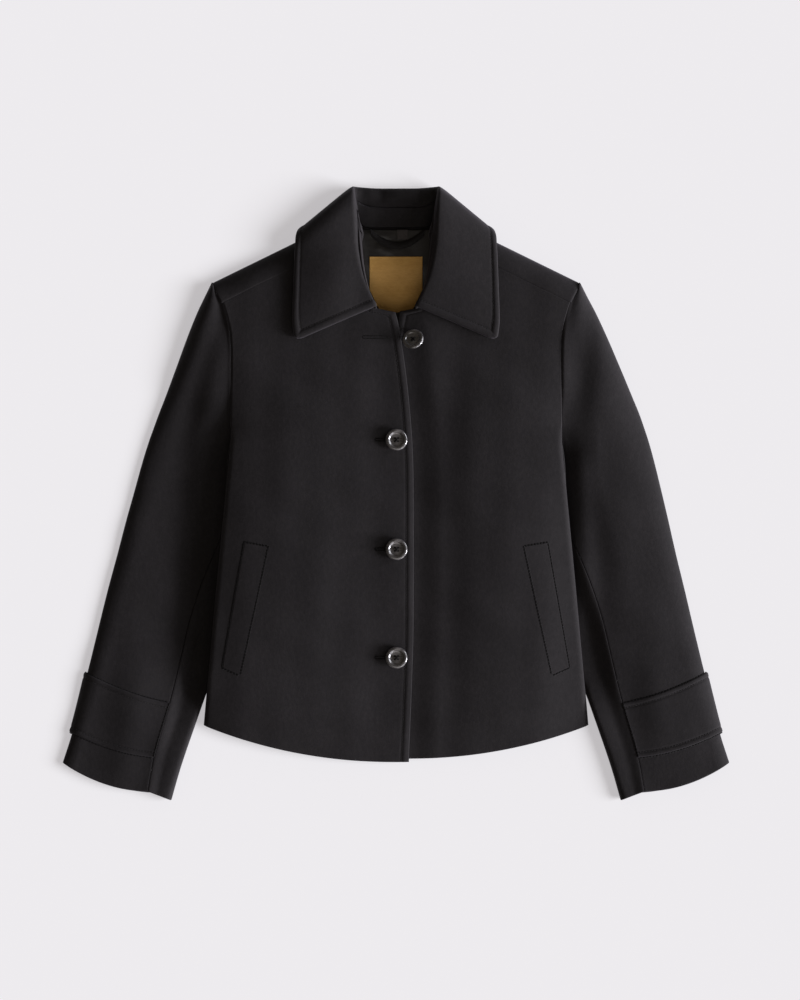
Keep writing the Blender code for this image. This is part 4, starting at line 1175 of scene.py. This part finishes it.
def round_corners(u, v, limits, corners):
    """Draws the grid's corners in, so that a sewn point is blunt and not sharp."""
    for u_end, v_end, u_reach, v_reach in corners:
        a = np.clip(1 - np.abs(u - limits[0][u_end]) / u_reach, 0, 1)
        b = np.clip(1 - np.abs(v - limits[1][v_end]) / v_reach, 0, 1)
        most, length = np.maximum(a, b), np.hypot(a, b)
        shrink = np.where((a > 0) & (b > 0), most / np.maximum(length, TINY), 1.0)
        towards_u, towards_v = (1 if u_end == 0 else -1), (1 if v_end == 0 else -1)
        u = u + towards_u * u_reach * a * (1 - shrink)
        v = v + towards_v * v_reach * b * (1 - shrink)
    return u, v


def lap_edge(points, side, reach, share):
    """Runs the outermost row of a sewn edge on under its neighbour, so that the seam shows no slit."""
    rows = np.moveaxis(points, 0 if side in ("start", "end") else 1, 0)
    last, next_row = (0, 1) if side in ("start", "foot") else (-1, -2)
    step = rows[last] - rows[next_row]
    step = step / np.maximum(np.linalg.norm(step, axis=-1, keepdims=True), TINY)
    rows[last] += (reach * share)[:, None] * step


print("edges are called", SIDES)


# %% Relief of the edges
def edge_relief(edges, distance, wall):
    """Rounding of the folded edges, and relief of the seams and topstitched edges of a piece."""
    rim = fine = np.zeros_like(distance["start"])
    folds = [distance[side] for side in SIDES if "drop" not in edges[side]]
    seams = [seam_relief(distance[side], edges[side]["drop"]) for side in SIDES if "drop" in edges[side]]
    stitched = [side for side in SIDES if "stitch" in edges[side]]
    if folds:
        rim = fold_rim(np.min(folds, axis=0), wall)
    if seams:
        fine = fine + np.min(seams, axis=0)
    if stitched:
        nearest = np.min([distance[side] for side in stitched], axis=0)
        edge = edges[stitched[0]]
        fine = fine + stitch_relief(nearest, edge["stitch"], edge["puff"], edge["depth"])
    return rim, fine, stitched


print("seams reach", SEAM_REACH, "in from an edge")


# %% One sewn piece
def sew(name, surface, limits, beside, step, wall, sides, sign=1, finish=(WOOL, "wool"), **more):
    """A cut piece as a thin closed shell on surface. beside holds the places u and v where its grid is
    spaced, and sides the edges at u low, u high, v low and v high. Of more, keep gives places that the
    grid has to meet, lie the broad relief, which fades out from the height full down to the floor, extra
    the fine relief, corners the blunt points, laps how far an edge runs on under its neighbour and from
    which share of its length, and tuck how far the edge at u low is drawn up."""
    edges = dict(zip(SIDES, sides))
    closes = [edge["close"] for edge in sides]
    steps = step if isinstance(step, tuple) else (step, step)
    keep = more.get("keep", ((), ()))
    across = places_along(surface, limits, 0, beside[1], steps[0], closes[:2], keep[0])
    along = places_along(surface, limits, 1, beside[0], steps[1], closes[2:], keep[1])
    u, v = np.meshgrid(across, along, indexing="ij")
    flat = surface(u, v)
    length_u, length_v = arc_lengths(flat, 0), arc_lengths(flat, 1)
    distance = {"start": length_u, "end": length_u[-1:] - length_u, "foot": length_v}
    distance["head"] = length_v[:, -1:] - length_v
    bent_u, bent_v = round_corners(u, v, limits, more.get("corners", ()))
    base = surface(bent_u, bent_v)
    for side, (reach, since) in more.get("laps", {}).items():
        run = along if side in ("start", "end") else across
        lap_edge(base, side, reach, ease(since - LAP_FADE, since, run))
    if "tuck" in more:
        base[0, :, 2] += more["tuck"](base[0, :, 1], base[0, :, 2])
    normal = sign * facing(surface, bent_u, bent_v, limits)
    lie = more.get("lie", coat_lie)(base[..., 0], base[..., 1])
    base[..., 2] += ease(0, more.get("full", LIE_FULL), base[..., 2]) * lie
    rim, fine, stitched = edge_relief(edges, distance, wall)
    if "extra" in more:
        fine = fine + more["extra"](u, v, distance)
    outer = base + normal * (fine - rim)[..., None]
    inner = base + normal * (rim - wall)[..., None]
    for face in (outer, inner):
        face[..., 2] = np.maximum(face[..., 2], 0.0)
    mesh = shell_mesh(name, outer, inner, sign < 0)
    piece = add_piece(f"{name}_cloth", mesh, *finish, name)
    corners = outer[:-1, :-1], outer[1:, :-1], outer[1:, 1:], outer[:-1, 1:]
    area = np.linalg.norm(np.cross(corners[2] - corners[0], corners[3] - corners[1]), axis=-1).sum() / 2
    widest, longest = length_u[-1].max(), length_v[:, -1].max()
    print(f"{name}: {len(mesh.polygons)} faces, {widest:.3f} x {longest:.3f} m, {area:.4f} m2")
    SEWN[name] = dict(piece=piece, outer=outer, normal=normal, distance=distance, stitched=stitched)


# %% [markdown]
# ## The fronts
# The wearer's right front carries the buttonholes and lies on top. Its front edge is turned and
# topstitched, the hem is only turned up, and the rest is sewn to the back, the sleeve and the collar.
# The left front is the same cut and runs on underneath to carry the buttons. The turned-up hem makes
# the cloth a little thicker at the foot, which shows as a faint step.

# %% Left and right front
UNIT, MIDDLE = ((0.0, 1.0), (0.0, 1.0)), (0.5, 0.5)
FRONT_STEP, FRONT_SPACED = 0.0027, (0.4, 0.4)
FRONT_STITCH, FRONT_PUFF, FRONT_DEPTH = 0.0088, 0.0004, 0.0002
EDGE_ROLL, EDGE_REACH = 0.0005, 0.0060
ARMHOLE_LAPS = {"end": (0.0009, 0.70)}
HEM_TURN, HEM_STEP, HEM_SOFT = 0.044, 0.00020, 0.006
FRONT_ROWS = (), (EDGE_SHARE, NOTCH_SHARE)
FRONT_EDGE = topstitched(FRONT_STITCH, FRONT_PUFF, FRONT_DEPTH)


def front_relief(u, v, distance):
    """The step where the turned-up hem ends, and the round roll of the front edge."""
    hem = HEM_STEP * (1 - ease(HEM_TURN - HEM_SOFT, HEM_TURN + HEM_SOFT, distance["foot"]))
    return hem - EDGE_ROLL * (1 - ease(0, EDGE_REACH, distance["start"]))


FRONTS = ("front_left", front_left_point, 1, FLUSH_SEAM), ("front_right", front_right_point, -1, SEAM)
for name, surface, sign, armhole in FRONTS:
    edges = FRONT_EDGE, armhole, FOLD, SOFT_SEAM
    shape = {"sign": sign, "keep": FRONT_ROWS, "extra": front_relief, "laps": ARMHOLE_LAPS}
    sew(name, surface, UNIT, FRONT_SPACED, FRONT_STEP, CLOTH_WALL, edges, **shape)

# %% [markdown]
# ## The back
# The back panel lies on the floor with its outer face down. Its shoulders turn over to a seam that
# sits on the front, as on most tailored coats, so a strip of it shows beside the collar.

# %% Back
BACK_STEP, BACK_SPACED = 0.0036, (0.65, 0.5)
BACK_LIMITS = (-1.0, 1.0), (0.0, LAST_ROW)
BACK_EDGES = SOFT_SEAM, SOFT_SEAM, FOLD, SOFT_SEAM
SHOULDER_LAP, ALL_ALONG = (0.0024, 0.93), -9
BACK_LAPS = {"start": SHOULDER_LAP, "end": SHOULDER_LAP, "head": (0.0012, ALL_ALONG)}
sew("back", back_point, BACK_LIMITS, BACK_SPACED, BACK_STEP, CLOTH_WALL, BACK_EDGES, -1, laps=BACK_LAPS)

# %% [markdown]
# ## The sleeves
# A two-piece sleeve has a top piece, which rolls round the outer edge to the back, and a narrow under
# piece. The seam between them runs down the front of the arm from the armhole. The left arm lies a
# little wider than the right. At the underarm the head is drawn up into the body, so no slit shows.

# %% Top and under sleeves
SLEEVE_STEP = (0.0024, 0.0030)
TOP_LIMITS = (TOP_SEAM_SHARE, 1 - TOP_SEAM_SHARE), (0.0, 1.0)
UNDER_LIMITS = (UNDER_SEAM_SHARE, 1 - UNDER_SEAM_SHARE), (float(SLEEVE_INNER["place"][0]), 1.0)
TOP_SPACED, UNDER_SPACED, UNDER_FULL = (0.3, 0.6), (0.3, 0.9), 0.008
HEAD_LAPS = {"foot": (0.0026, ALL_ALONG)}
UNDERARM_TUCK, UNDERARM_FROM, UNDERARM_TO = 0.006, (0.036, 0.055), (0.066, 0.092)
TUCKED_FROM = (0.004, 0.009)
ARMS = ("left", -1), ("right", 1)
TOP_SLEEVES = {}


def underarm_tuck(y, z):
    """How far a sleeve's head is drawn up into the body at the underarm, where the armhole closes."""
    return UNDERARM_TUCK * ease(*UNDERARM_FROM, y) * (1 - ease(*UNDERARM_TO, y)) * ease(*TUCKED_FROM, z)


for side, sign in ARMS:
    top = lambda w, place, fuller=-sign * ARM_FULLER: sleeve_top_point(w, place, fuller)
    under = sleeve_under_point
    if side == "right":
        top, under = mirror(top), mirror(under)
    TOP_SLEEVES[side] = top
    edges = SOFT_SEAM, SOFT_SEAM, SOFT_SEAM if side == "left" else FLUSH_SEAM, FOLD
    shape = {"step": SLEEVE_STEP, "wall": CLOTH_WALL, "sides": edges, "lie": arm_lie}
    joined = {"laps": HEAD_LAPS, "tuck": underarm_tuck}
    sew(f"sleeve_{side}_top", top, TOP_LIMITS, TOP_SPACED, sign=sign, **joined, **shape)
    sew(f"sleeve_{side}_under", under, UNDER_LIMITS, UNDER_SPACED, sign=-sign, full=UNDER_FULL, **shape)

# %% [markdown]
# ## Cuff tabs and pocket welts
# A tab is a doubled strip, sewn into the front sleeve seam and topstitched, that runs round the outer
# edge to the back. A welt is a doubled slanted strip over the pocket's mouth, set in almost flush. Both
# follow the cloth that carries them, sunk a little into its nap. The fine dark line round each welt and
# along each tab's edges is painted shade: a flat dark band of thread laid where the shadow falls.

# %% Cuff tabs
TAB_STEP, TAB_SPACED = 0.0022, (0.3, 0.95)
TAB_STITCH, TAB_SINK, TAB_PUFF = 0.0062, 0.0030, 0.0003
TAB_LIMITS = TOP_LIMITS[0], TAB_PLACES
TAB_EDGE = topstitched(TAB_STITCH, TAB_PUFF)
TAB_EDGES = FLUSH_SEAM, FLUSH_SEAM, TAB_EDGE, TAB_EDGE


def tab_lie(x, y):
    return arm_lie(x, y) - TAB_SINK


for side, sign in ARMS:
    tab = raised(TOP_SLEEVES[side], UNIT, TRIM_WALL + SEAM_GAP, sign)
    sew(f"cuff_tab_{side}", tab, TAB_LIMITS, TAB_SPACED, TAB_STEP, TRIM_WALL, TAB_EDGES, sign, lie=tab_lie)

# %% Pocket welts
WELT_STEP, WELT_SINK = 0.0018, 0.0024
welt_top_in, welt_top_out, welt_foot_out, welt_foot_in = (np.array(corner) for corner in WELT_CORNERS)


def welt_point(u, v):
    u, v = u[..., None], v[..., None]
    plan = mix(mix(welt_foot_in, welt_foot_out, u), mix(welt_top_in, welt_top_out, u), v)
    height = front_height(plan[..., 0], plan[..., 1]) + SEAM_GAP + WELT_WALL - WELT_SINK
    return np.concatenate((plan, height[..., None]), -1)


for side, surface, sign in (("left", welt_point, 1), ("right", mirror(welt_point), -1)):
    sew(f"pocket_welt_{side}", surface, UNIT, MIDDLE, WELT_STEP, WELT_WALL, FOLDED_ROUND, sign)

# %% [markdown]
# ## The collar
# The collar has two pieces: a narrow stand on the neck seam and a wide fall that rolls over it and ends
# in two blunt points. Its outer edge and its ends are topstitched well inside the edge, and the padding
# of turned-in cloth puffs up between the stitches and the edge. Behind the neck the roll springs up and
# is a little lumpy, as in any collar that has been folded many times.

# %% Collar stand and fall
COLLAR_STITCH, COLLAR_DEPTH = 0.0092, 0.00014
FALL_LIMITS, FALL_SPACED, FALL_STEP = ((0.004, 1.0), (-1.0, 1.0)), (0.9, 0.8), 0.0022
STAND_LIMITS, STAND_SPACED, STAND_STEP = ((0.02, 0.995), (-1.0, 1.0)), (0.5, 0.2), 0.0018
BLUNT = 0.040, 0.034
POINTS = (1, 0, *BLUNT), (1, 1, *BLUNT)
ROLL_STANDS, ROLL_STANDS_PLACES = 0.0105, (0.25, 0.44)
COLLAR_RIM = topstitched(COLLAR_STITCH, depth=COLLAR_DEPTH)
COLLAR_EDGES = SEAM, COLLAR_RIM, COLLAR_RIM, COLLAR_RIM


def roll_stands(along):
    """How much higher the roll stands behind the neck, where the cloth springs up."""
    return ROLL_STANDS * (1 - ease(*ROLL_STANDS_PLACES, np.abs(along)))


def springy_fall(t, along):
    """The fall with its roll lifted by the same three bends that shape it."""
    points = collar_fall_point(t, along)
    up, down = third(t, 0), third(t, 1)
    rising = 0.5 * (1 - up) ** 2 + 2 * up * (1 - up) + 0.5 * up**2
    points[..., 2] += roll_stands(along) * np.where(t < 1 / 3, rising, 0.5 * (1 - down) ** 2)
    return points


def springy_stand(share, along):
    points = collar_stand_point(share, along)
    points[..., 2] += roll_stands(along) * STAND_SHARE * share
    return points


def still(x, y):
    return np.zeros_like(x)


shape = {"sign": -1, "lie": collar_lie, "corners": POINTS}
sew("collar_fall", springy_fall, FALL_LIMITS, FALL_SPACED, FALL_STEP, COLLAR_WALL, COLLAR_EDGES, **shape)
shape = {"sign": -1, "lie": still}
sew("collar_stand", springy_stand, STAND_LIMITS, STAND_SPACED, STAND_STEP, CLOTH_WALL, SEWN_ROUND, **shape)

# %% [markdown]
# ## Inside the neck
# Only what shows is made: the top of the black satin lining, the woven label with its cut-off lower
# corners, left bare, the braid loop to hang the coat by and a small folded tag. The satin is loose, so
# it takes the sharpest little folds of the whole coat.

# %% Lining, label, loop and tag
LOOP_CROWN = 0.0016
NECK_STEP, NECK_FULL = 0.0012, 0.002


def lining_point(u, v):
    half = mix(LINING_FOOT_HALF, LINING_HALF, v)
    return on_lining(mix(-half, half, u), mix(*LINING_Y, v), 0.0)


def label_point(u, v):
    y = mix(*LABEL_Y, v)
    chamfer = np.clip((y - LABEL_Y[0]) / (LABEL_CHAMFER_Y - LABEL_Y[0]), 0, 1)
    half = mix(LABEL_FOOT_HALF, LABEL_HALF, chamfer)
    return on_lining(mix(-half, half, u), y, SEAM_GAP + LABEL_WALL)


def loop_point(u, v):
    x = mix(-LOOP_HALF, LOOP_HALF, u)
    y = LOOP_Y[0] + (LOOP_Y[1] - LOOP_Y[0]) * (x / LOOP_HALF) ** 2 + LOOP_BAND * (v - 0.5)
    crowned = LOOP_CROWN * (1 - (2 * v - 1) ** 2)
    return on_lining(x + LOOP_CENTRE_X, y, SEAM_GAP + LOOP_WALL + crowned)


def tag_point(u, v):
    return on_lining(mix(*TAG_X, u), mix(*TAG_Y, v), SEAM_GAP + LABEL_WALL)


LABEL_ROWS = (), ((LABEL_CHAMFER_Y - LABEL_Y[0]) / (LABEL_Y[1] - LABEL_Y[0]),)
ANY_ROWS = (), ()
for name, surface, wall, finish, keep, lie in (
    ("lining_back", lining_point, LINING_WALL, (SATIN, "satin_lining"), ANY_ROWS, lining_lie),
    ("neck_label", label_point, LABEL_WALL, (LABEL_WEAVE, "label"), LABEL_ROWS, still),
    ("hanger_loop", loop_point, LOOP_WALL, (LOOP_BRAID, "loop"), ANY_ROWS, still),
    ("size_tag", tag_point, LABEL_WALL, (TAG_BRAID, "tag"), ANY_ROWS, still),
):
    shape = {"finish": finish, "keep": keep, "lie": lie, "full": NECK_FULL}
    sew(name, surface, UNIT, MIDDLE, NECK_STEP, wall, FOLDED_ROUND, **shape)

# %% [markdown]
# ## Buttons
# Four turned horn buttons, each with a raised rim, a dished middle and four drilled holes, sewn on with
# a cross of thread. The lowest three are done up. The top one is undone and leans on its thread. A
# screw modifier turns the profile and booleans drill the holes, as a lathe and a drill would.

# %% Turning a button
TURN_STEPS, HOLE_STEPS, WELD, SHARP_DEGREES = 64, 20, 0.00001, 40
HOLE_ANGLES = [math.radians(45 + 90 * k) for k in range(4)]
# Reach and height of the turned profile, as shares of the radius and the thickness: the dished middle,
# the rim, the side and the back
DISH_PROFILE = (0.00, 0.60), (0.30, 0.60), (0.50, 0.61), (0.58, 0.64), (0.64, 0.76), (0.69, 0.92)
RIM_PROFILE = (0.74, 0.985), (0.80, 1.00), (0.86, 0.985), (0.92, 0.93), (0.965, 0.83), (0.99, 0.72)
SIDE_PROFILE = (1.00, 0.60), (0.99, 0.46), (0.96, 0.30)
BACK_PROFILE = (0.90, 0.15), (0.82, 0.05), (0.70, 0.00), (0.00, 0.00)


def turned_button():
    profile = DISH_PROFILE + RIM_PROFILE + SIDE_PROFILE + BACK_PROFILE
    points = [(BUTTON_RADIUS * reach, 0.0, BUTTON_THICK * height) for reach, height in profile]
    outline = bpy.data.meshes.new("button_profile")
    outline.from_pydata(points, [(k, k + 1) for k in range(len(points) - 1)], [])
    blank = bpy.data.objects.new("button_blank", outline)
    scene.collection.objects.link(blank)
    turn = blank.modifiers.new("turn", "SCREW")
    turn.steps = turn.render_steps = TURN_STEPS
    turn.use_merge_vertices = True
    turn.merge_threshold = WELD
    helpers = [blank]
    for angle in HOLE_ANGLES:
        bpy.ops.mesh.primitive_cylinder_add(vertices=HOLE_STEPS, radius=HOLE_RADIUS, depth=2 * BUTTON_THICK)
        drill = bpy.context.object
        drill.location = (HOLE_REACH * math.cos(angle), HOLE_REACH * math.sin(angle), BUTTON_THICK / 2)
        cut = blank.modifiers.new("hole", "BOOLEAN")
        cut.operation = "DIFFERENCE"
        cut.object = drill
        helpers.append(drill)
    bpy.context.view_layer.update()
    mesh = bpy.data.meshes.new_from_object(blank.evaluated_get(bpy.context.evaluated_depsgraph_get()))
    for helper in helpers:
        bpy.data.objects.remove(helper)
    mesh.materials.clear()
    mesh.shade_smooth()
    mesh.set_sharp_from_angle(angle=math.radians(SHARP_DEGREES))
    return mesh


button_mesh = turned_button()
print("button faces:", len(button_mesh.polygons))


# %% Buttons in their places
def front_height_at(x, y):
    return float(front_height(np.array(x), np.array(y)))


def place_at(piece, spot, tilt):
    piece.location = spot
    piece.rotation_euler = tilt


lean_room = BUTTON_RADIUS * math.sin(math.hypot(*UNDONE_TILT))
undone_z = front_height_at(*UNDONE_BUTTON) - UNDONE_SINK + lean_room
BUTTON_SPOTS = {"button_1": ((*UNDONE_BUTTON, undone_z), UNDONE_TILT)}
for number, y in enumerate(BUTTON_Y, start=2):
    spot = BUTTON_X, y, front_height_at(BUTTON_X, y) + BUTTON_LIE
    BUTTON_SPOTS[f"button_{number}"] = spot, (0.0, 0.0, 0.0)
for name, (spot, tilt) in BUTTON_SPOTS.items():
    place_at(add_piece(f"{name}_horn", button_mesh.copy(), HORN, "button", name), spot, tilt)
    print(f"{name} at", [round(value, 4) for value in spot])

# %% [markdown]
# ## Topstitching, painted shade lines, buttonholes and button threads
# Thread is what makes the coat read as sewn. Each stitch is a short length of thread that dips into the
# cloth at its two ends, so a row of them sits in the groove that the sewing has pulled. A buttonhole is
# a ring of such threads set across the edge of a slot. Where tabs and welts meet the cloth, a flat dark
# band of thread is painted shade for the shadow line there. All are short tubes in one mesh for each
# job, which is lighter than one object for each stitch.

# %% Thread
STITCH_PITCH, STITCH_LENGTH = 0.0034, 0.0027
THREAD_RADIUS, THREAD_SIDES = 0.00034, 6
# Along one stitch: the places of its four points, how far they stand off the cloth, and their taper
STITCH_SHARES = np.array((0.0, 0.25, 0.75, 1.0))
THREAD_DIP = np.array((-0.00035, 0.00012, 0.00012, -0.00035))
THREAD_TAPER = np.array((0.55, 1.0, 1.0, 0.55))
# Painted shade: flat dark bands of thread laid where tabs and welts meet the cloth, standing for the shadow
# line at their edges. Spacing, dip, width and flatness of each band
SHADE_BAND_SPACING = {"pitch": 0.0036, "stitch": 0.0035}
TAB_SHADE_BAND = {**SHADE_BAND_SPACING, "dip": np.full(4, -0.0001), "radius": 0.0011, "flat": 0.28}
WELT_SHADE_BAND = {**SHADE_BAND_SPACING, "dip": np.zeros(4), "radius": 0.0016, "flat": 0.10}
# How far a tab's band of painted shade is lifted on its long edges, and the lowest height thread is drawn
# at
TAB_SHADE_BAND_RISE, LOWEST_THREAD = 0.0010, 0.003
UP = (0.0, 0.0, 1.0)


def thread_mesh(name, runs, up, radius, flat=1.0):
    """Short tubes of thread in one mesh: runs holds rows of four points, up the outward way of each."""
    runs, up = np.array(runs), np.array(up)[:, None, :]
    along = np.gradient(runs, axis=1)
    aside = np.cross(along, up)
    aside = aside / np.linalg.norm(aside, axis=-1, keepdims=True)
    out = np.cross(aside, along)
    out = out / np.linalg.norm(out, axis=-1, keepdims=True)
    turn = np.arange(THREAD_SIDES) * math.tau / THREAD_SIDES
    ring = np.cos(turn)[:, None] * aside[..., None, :] + flat * np.sin(turn)[:, None] * out[..., None, :]
    points = runs[..., None, :] + radius * THREAD_TAPER[:, None, None] * ring
    index = np.arange(points.size // 3).reshape(points.shape[:3])
    after = np.roll(index, -1, axis=2)
    quads = np.stack((index[:, :-1], index[:, 1:], after[:, 1:], after[:, :-1]), -1).reshape(-1, 4)
    caps = np.concatenate((index[:, 0], index[:, -1, ::-1]))
    mesh = bpy.data.meshes.new(name)
    mesh.from_pydata(points.reshape(-1, 3), [], quads.tolist() + caps.tolist())
    mesh.shade_smooth()
    return mesh


print("thread, metres across:", 2 * THREAD_RADIUS)


# %% Rows of stitches
def stitch_line(name, side, inset):
    """Points and outward directions along the row of topstitching inside one edge of a sewn piece."""
    cut = SEWN[name]
    grids = [cut["outer"], cut["normal"], cut["distance"][side][..., None]]
    grids += [cut["distance"][other][..., None] for other in cut["stitched"] if other != side]
    if side in ("foot", "head"):
        grids = [grid.transpose(1, 0, 2) for grid in grids]
    if side in ("end", "head"):
        grids = [grid[::-1] for grid in grids]
    fields = np.concatenate(grids, -1)
    path = []
    for k in range(fields.shape[1]):
        place = fields[:, k, 6]
        row = [np.interp(inset, place, fields[:, k, column]) for column in range(fields.shape[-1])]
        if all(other >= inset for other in row[7:]):
            path.append(row[:6])
    return np.array(path)


def sew_path(path, pitch, stitch, dip):
    """Stitches along one path of points and outward directions, with the outward way of each."""
    length = arc_lengths(path[:, :3], 0)
    runs, ups = [], []
    for begin in np.arange(pitch / 2, length[-1] - pitch, pitch):
        places = begin + stitch * STITCH_SHARES
        points = np.stack([np.interp(places, length, path[:, column]) for column in range(6)], -1)
        runs.append(points[:, :3] + points[:, 3:] * dip[:, None])
        ups.append(points[1, 3:])
    return runs, ups


def add_threads(name, runs, ups, thread, slot, radius, flat=1.0):
    return add_piece(name, thread_mesh(name, runs, ups, radius, flat), thread, slot)


def sew_rows(name, thread, paths, pitch=STITCH_PITCH, stitch=STITCH_LENGTH, dip=THREAD_DIP, **shape):
    """One piece of thread for all the stitches along some paths."""
    runs, ups = [], []
    for path in paths:
        more_runs, more_ups = sew_path(path[path[:, 2] > LOWEST_THREAD], pitch, stitch, dip)
        runs += more_runs
        ups += more_ups
    print(f"{name}: {len(runs)} stitches")
    return add_threads(name, runs, ups, thread, "wool", **{"radius": THREAD_RADIUS, **shape})


print("stitches to the metre:", round(1 / STITCH_PITCH))


# %% Painted shade lines and topstitching
def on_front(x, y, lift):
    return np.stack((x, y, front_height(x, y) + coat_lie(x, y) + lift), -1)


def welt_shade_path(name):
    """The path round a welt where it meets the front, where a band of painted shade is laid."""
    outer = SEWN[name]["outer"]
    ring = np.concatenate((outer[:-1, 0], outer[-1, :-1], outer[:0:-1, -1], outer[0, ::-1]))
    ring = on_front(ring[:, 0], ring[:, 1], 0.0)
    return np.concatenate((ring, np.broadcast_to(UP, ring.shape)), -1)


def tab_shade_paths(name):
    """Where a tab's long edges and sewn end meet the sleeve: paths for its bands of painted shade."""
    outer, normal = SEWN[name]["outer"], SEWN[name]["normal"]
    edges = (outer[:, 0], normal[:, 0]), (outer[:, -1], normal[:, -1]), (outer[0], normal[0])
    rises = TAB_SHADE_BAND_RISE, TAB_SHADE_BAND_RISE, 0.0
    return [np.concatenate((edge + rise * up, up), -1) for (edge, up), rise in zip(edges, rises)]


front_path = stitch_line("front_right", "start", FRONT_STITCH)
STITCHING_AND_SHADE_LINES = {"front_right": [sew_rows("front_stitching", TOP_THREAD, [front_path])]}
collar_paths = [stitch_line("collar_fall", side, COLLAR_STITCH) for side in ("end", "foot", "head")]
STITCHING_AND_SHADE_LINES["collar_fall"] = [sew_rows("collar_stitching", TOP_THREAD, collar_paths)]
for side in ("left", "right"):
    tab, welt = f"cuff_tab_{side}", f"pocket_welt_{side}"
    tab_paths = [stitch_line(tab, edge, TAB_STITCH) for edge in ("foot", "head")]
    rows = sew_rows(f"tab_stitching_{side}", TOP_THREAD, tab_paths)
    # Beside its topstitching, each tab and each welt gets a flat dark band of thread as painted shade
    STITCHING_AND_SHADE_LINES[tab] = [rows, sew_rows(f"tab_shade_line_{side}", BLACK_THREAD_AND_SHADE, tab_shade_paths(tab), **TAB_SHADE_BAND)]
    STITCHING_AND_SHADE_LINES[welt] = [sew_rows(f"welt_shade_line_{side}", BLACK_THREAD_AND_SHADE, [welt_shade_path(welt)], **WELT_SHADE_BAND)]

# %% Buttonholes
# Start, end and place up the coat of the undone button's hole; the other three share start and end
BUTTONHOLE = -0.0230, 0.0030
TOP_BUTTONHOLE = -0.0370, -0.0110, 0.1790
BAR_LIFT, TOP_BAR_LIFT = -0.00022, -0.00034
SLOT_HALF, BAR_REACH, BAR_PITCH = 0.0004, 0.0021, 0.00062
END_FAN = np.radians(np.arange(-75, 90, 30))


def buttonhole_bars(start, end, y, lift):
    """Thread bars round a slot: across both its sides and fanned round its two ends."""
    places = np.arange(start, end, BAR_PITCH)
    spots = [(x, y + side * SLOT_HALF, 0.0, side) for x in places for side in (-1, 1)]
    for angle in END_FAN:
        spots.append((end, y, math.cos(angle), math.sin(angle)))
        spots.append((start, y, -math.cos(angle), math.sin(angle)))
    reach = BAR_REACH * STITCH_SHARES
    bars = [on_front(x + run_x * reach, low + run_y * reach, lift) for x, low, run_x, run_y in spots]
    for bar in bars:
        bar[:, 2] += THREAD_DIP
    return bars


bars = [bar for y in BUTTON_Y for bar in buttonhole_bars(*BUTTONHOLE, y, BAR_LIFT)]
bars += buttonhole_bars(*TOP_BUTTONHOLE, TOP_BAR_LIFT)
buttonholes = add_threads("buttonholes", bars, [UP] * len(bars), BLACK_THREAD_AND_SHADE, "wool", THREAD_RADIUS)
print("buttonholes:", len(bars), "bars of thread")

# %% Button threads
CROSS_LIFT, CROSS_SPREAD, CROSS_DEPTH, CROSS_RADIUS = 0.0007, 0.00035, -0.0016, 0.0003
DISH = DISH_PROFILE[0][1] * BUTTON_THICK
CROSS_HEIGHT = np.array((CROSS_DEPTH, CROSS_LIFT, CROSS_LIFT, CROSS_DEPTH))
CROSS_SHARES = np.array((-1.0, -0.7, 0.7, 1.0))
SHANK_STRANDS, SHANK_HALF, SHANK_RADIUS = 8, 0.0009, 0.0005
SHANK_SHARES, SHANK_OUT = (-0.05, 0.3, 0.7, 1.05), (1, 0.3, 0)


def cross_threads():
    """Strands from each hole to the one across from it, in the button's own frame."""
    strands = []
    for k, angle in enumerate(HOLE_ANGLES[:2]):
        run = np.array((math.cos(angle), math.sin(angle)))
        aside = np.array((-run[1], run[0]))
        for shift in (-1, 0, 1):
            plan = (HOLE_REACH * CROSS_SHARES)[:, None] * run + shift * CROSS_SPREAD * aside
            strands.append(np.column_stack((plan, DISH + CROSS_HEIGHT + k * CROSS_LIFT)))
    return strands


strands = cross_threads()
for name, (spot, tilt) in BUTTON_SPOTS.items():
    threads = add_threads(f"{name}_thread", strands, [UP] * len(strands), BLACK_THREAD_AND_SHADE, "button", CROSS_RADIUS)
    place_at(threads, spot, tilt)

shank_head = np.array(BUTTON_SPOTS["button_1"][0])
carrier_z = front_height_at(*UNDONE_BUTTON) - float(overlap_dip(*UNDONE_BUTTON))
shank_foot = np.array((*UNDONE_BUTTON, carrier_z))
shank = []
for k in range(SHANK_STRANDS):
    turn = k * math.tau / SHANK_STRANDS
    aside = SHANK_HALF * np.array((math.cos(turn), math.sin(turn), 0.0))
    shank.append([mix(shank_foot, shank_head, share) + aside for share in SHANK_SHARES])
add_threads("undone_shank", shank, [SHANK_OUT] * SHANK_STRANDS, BLACK_THREAD_AND_SHADE, "button", SHANK_RADIUS)
print("button threads set")

# %% [markdown]
# ## Closing
# The buttonholes join the thread pieces of the right front.

# %% The end
STITCHING_AND_SHADE_LINES["front_right"].append(buttonholes)
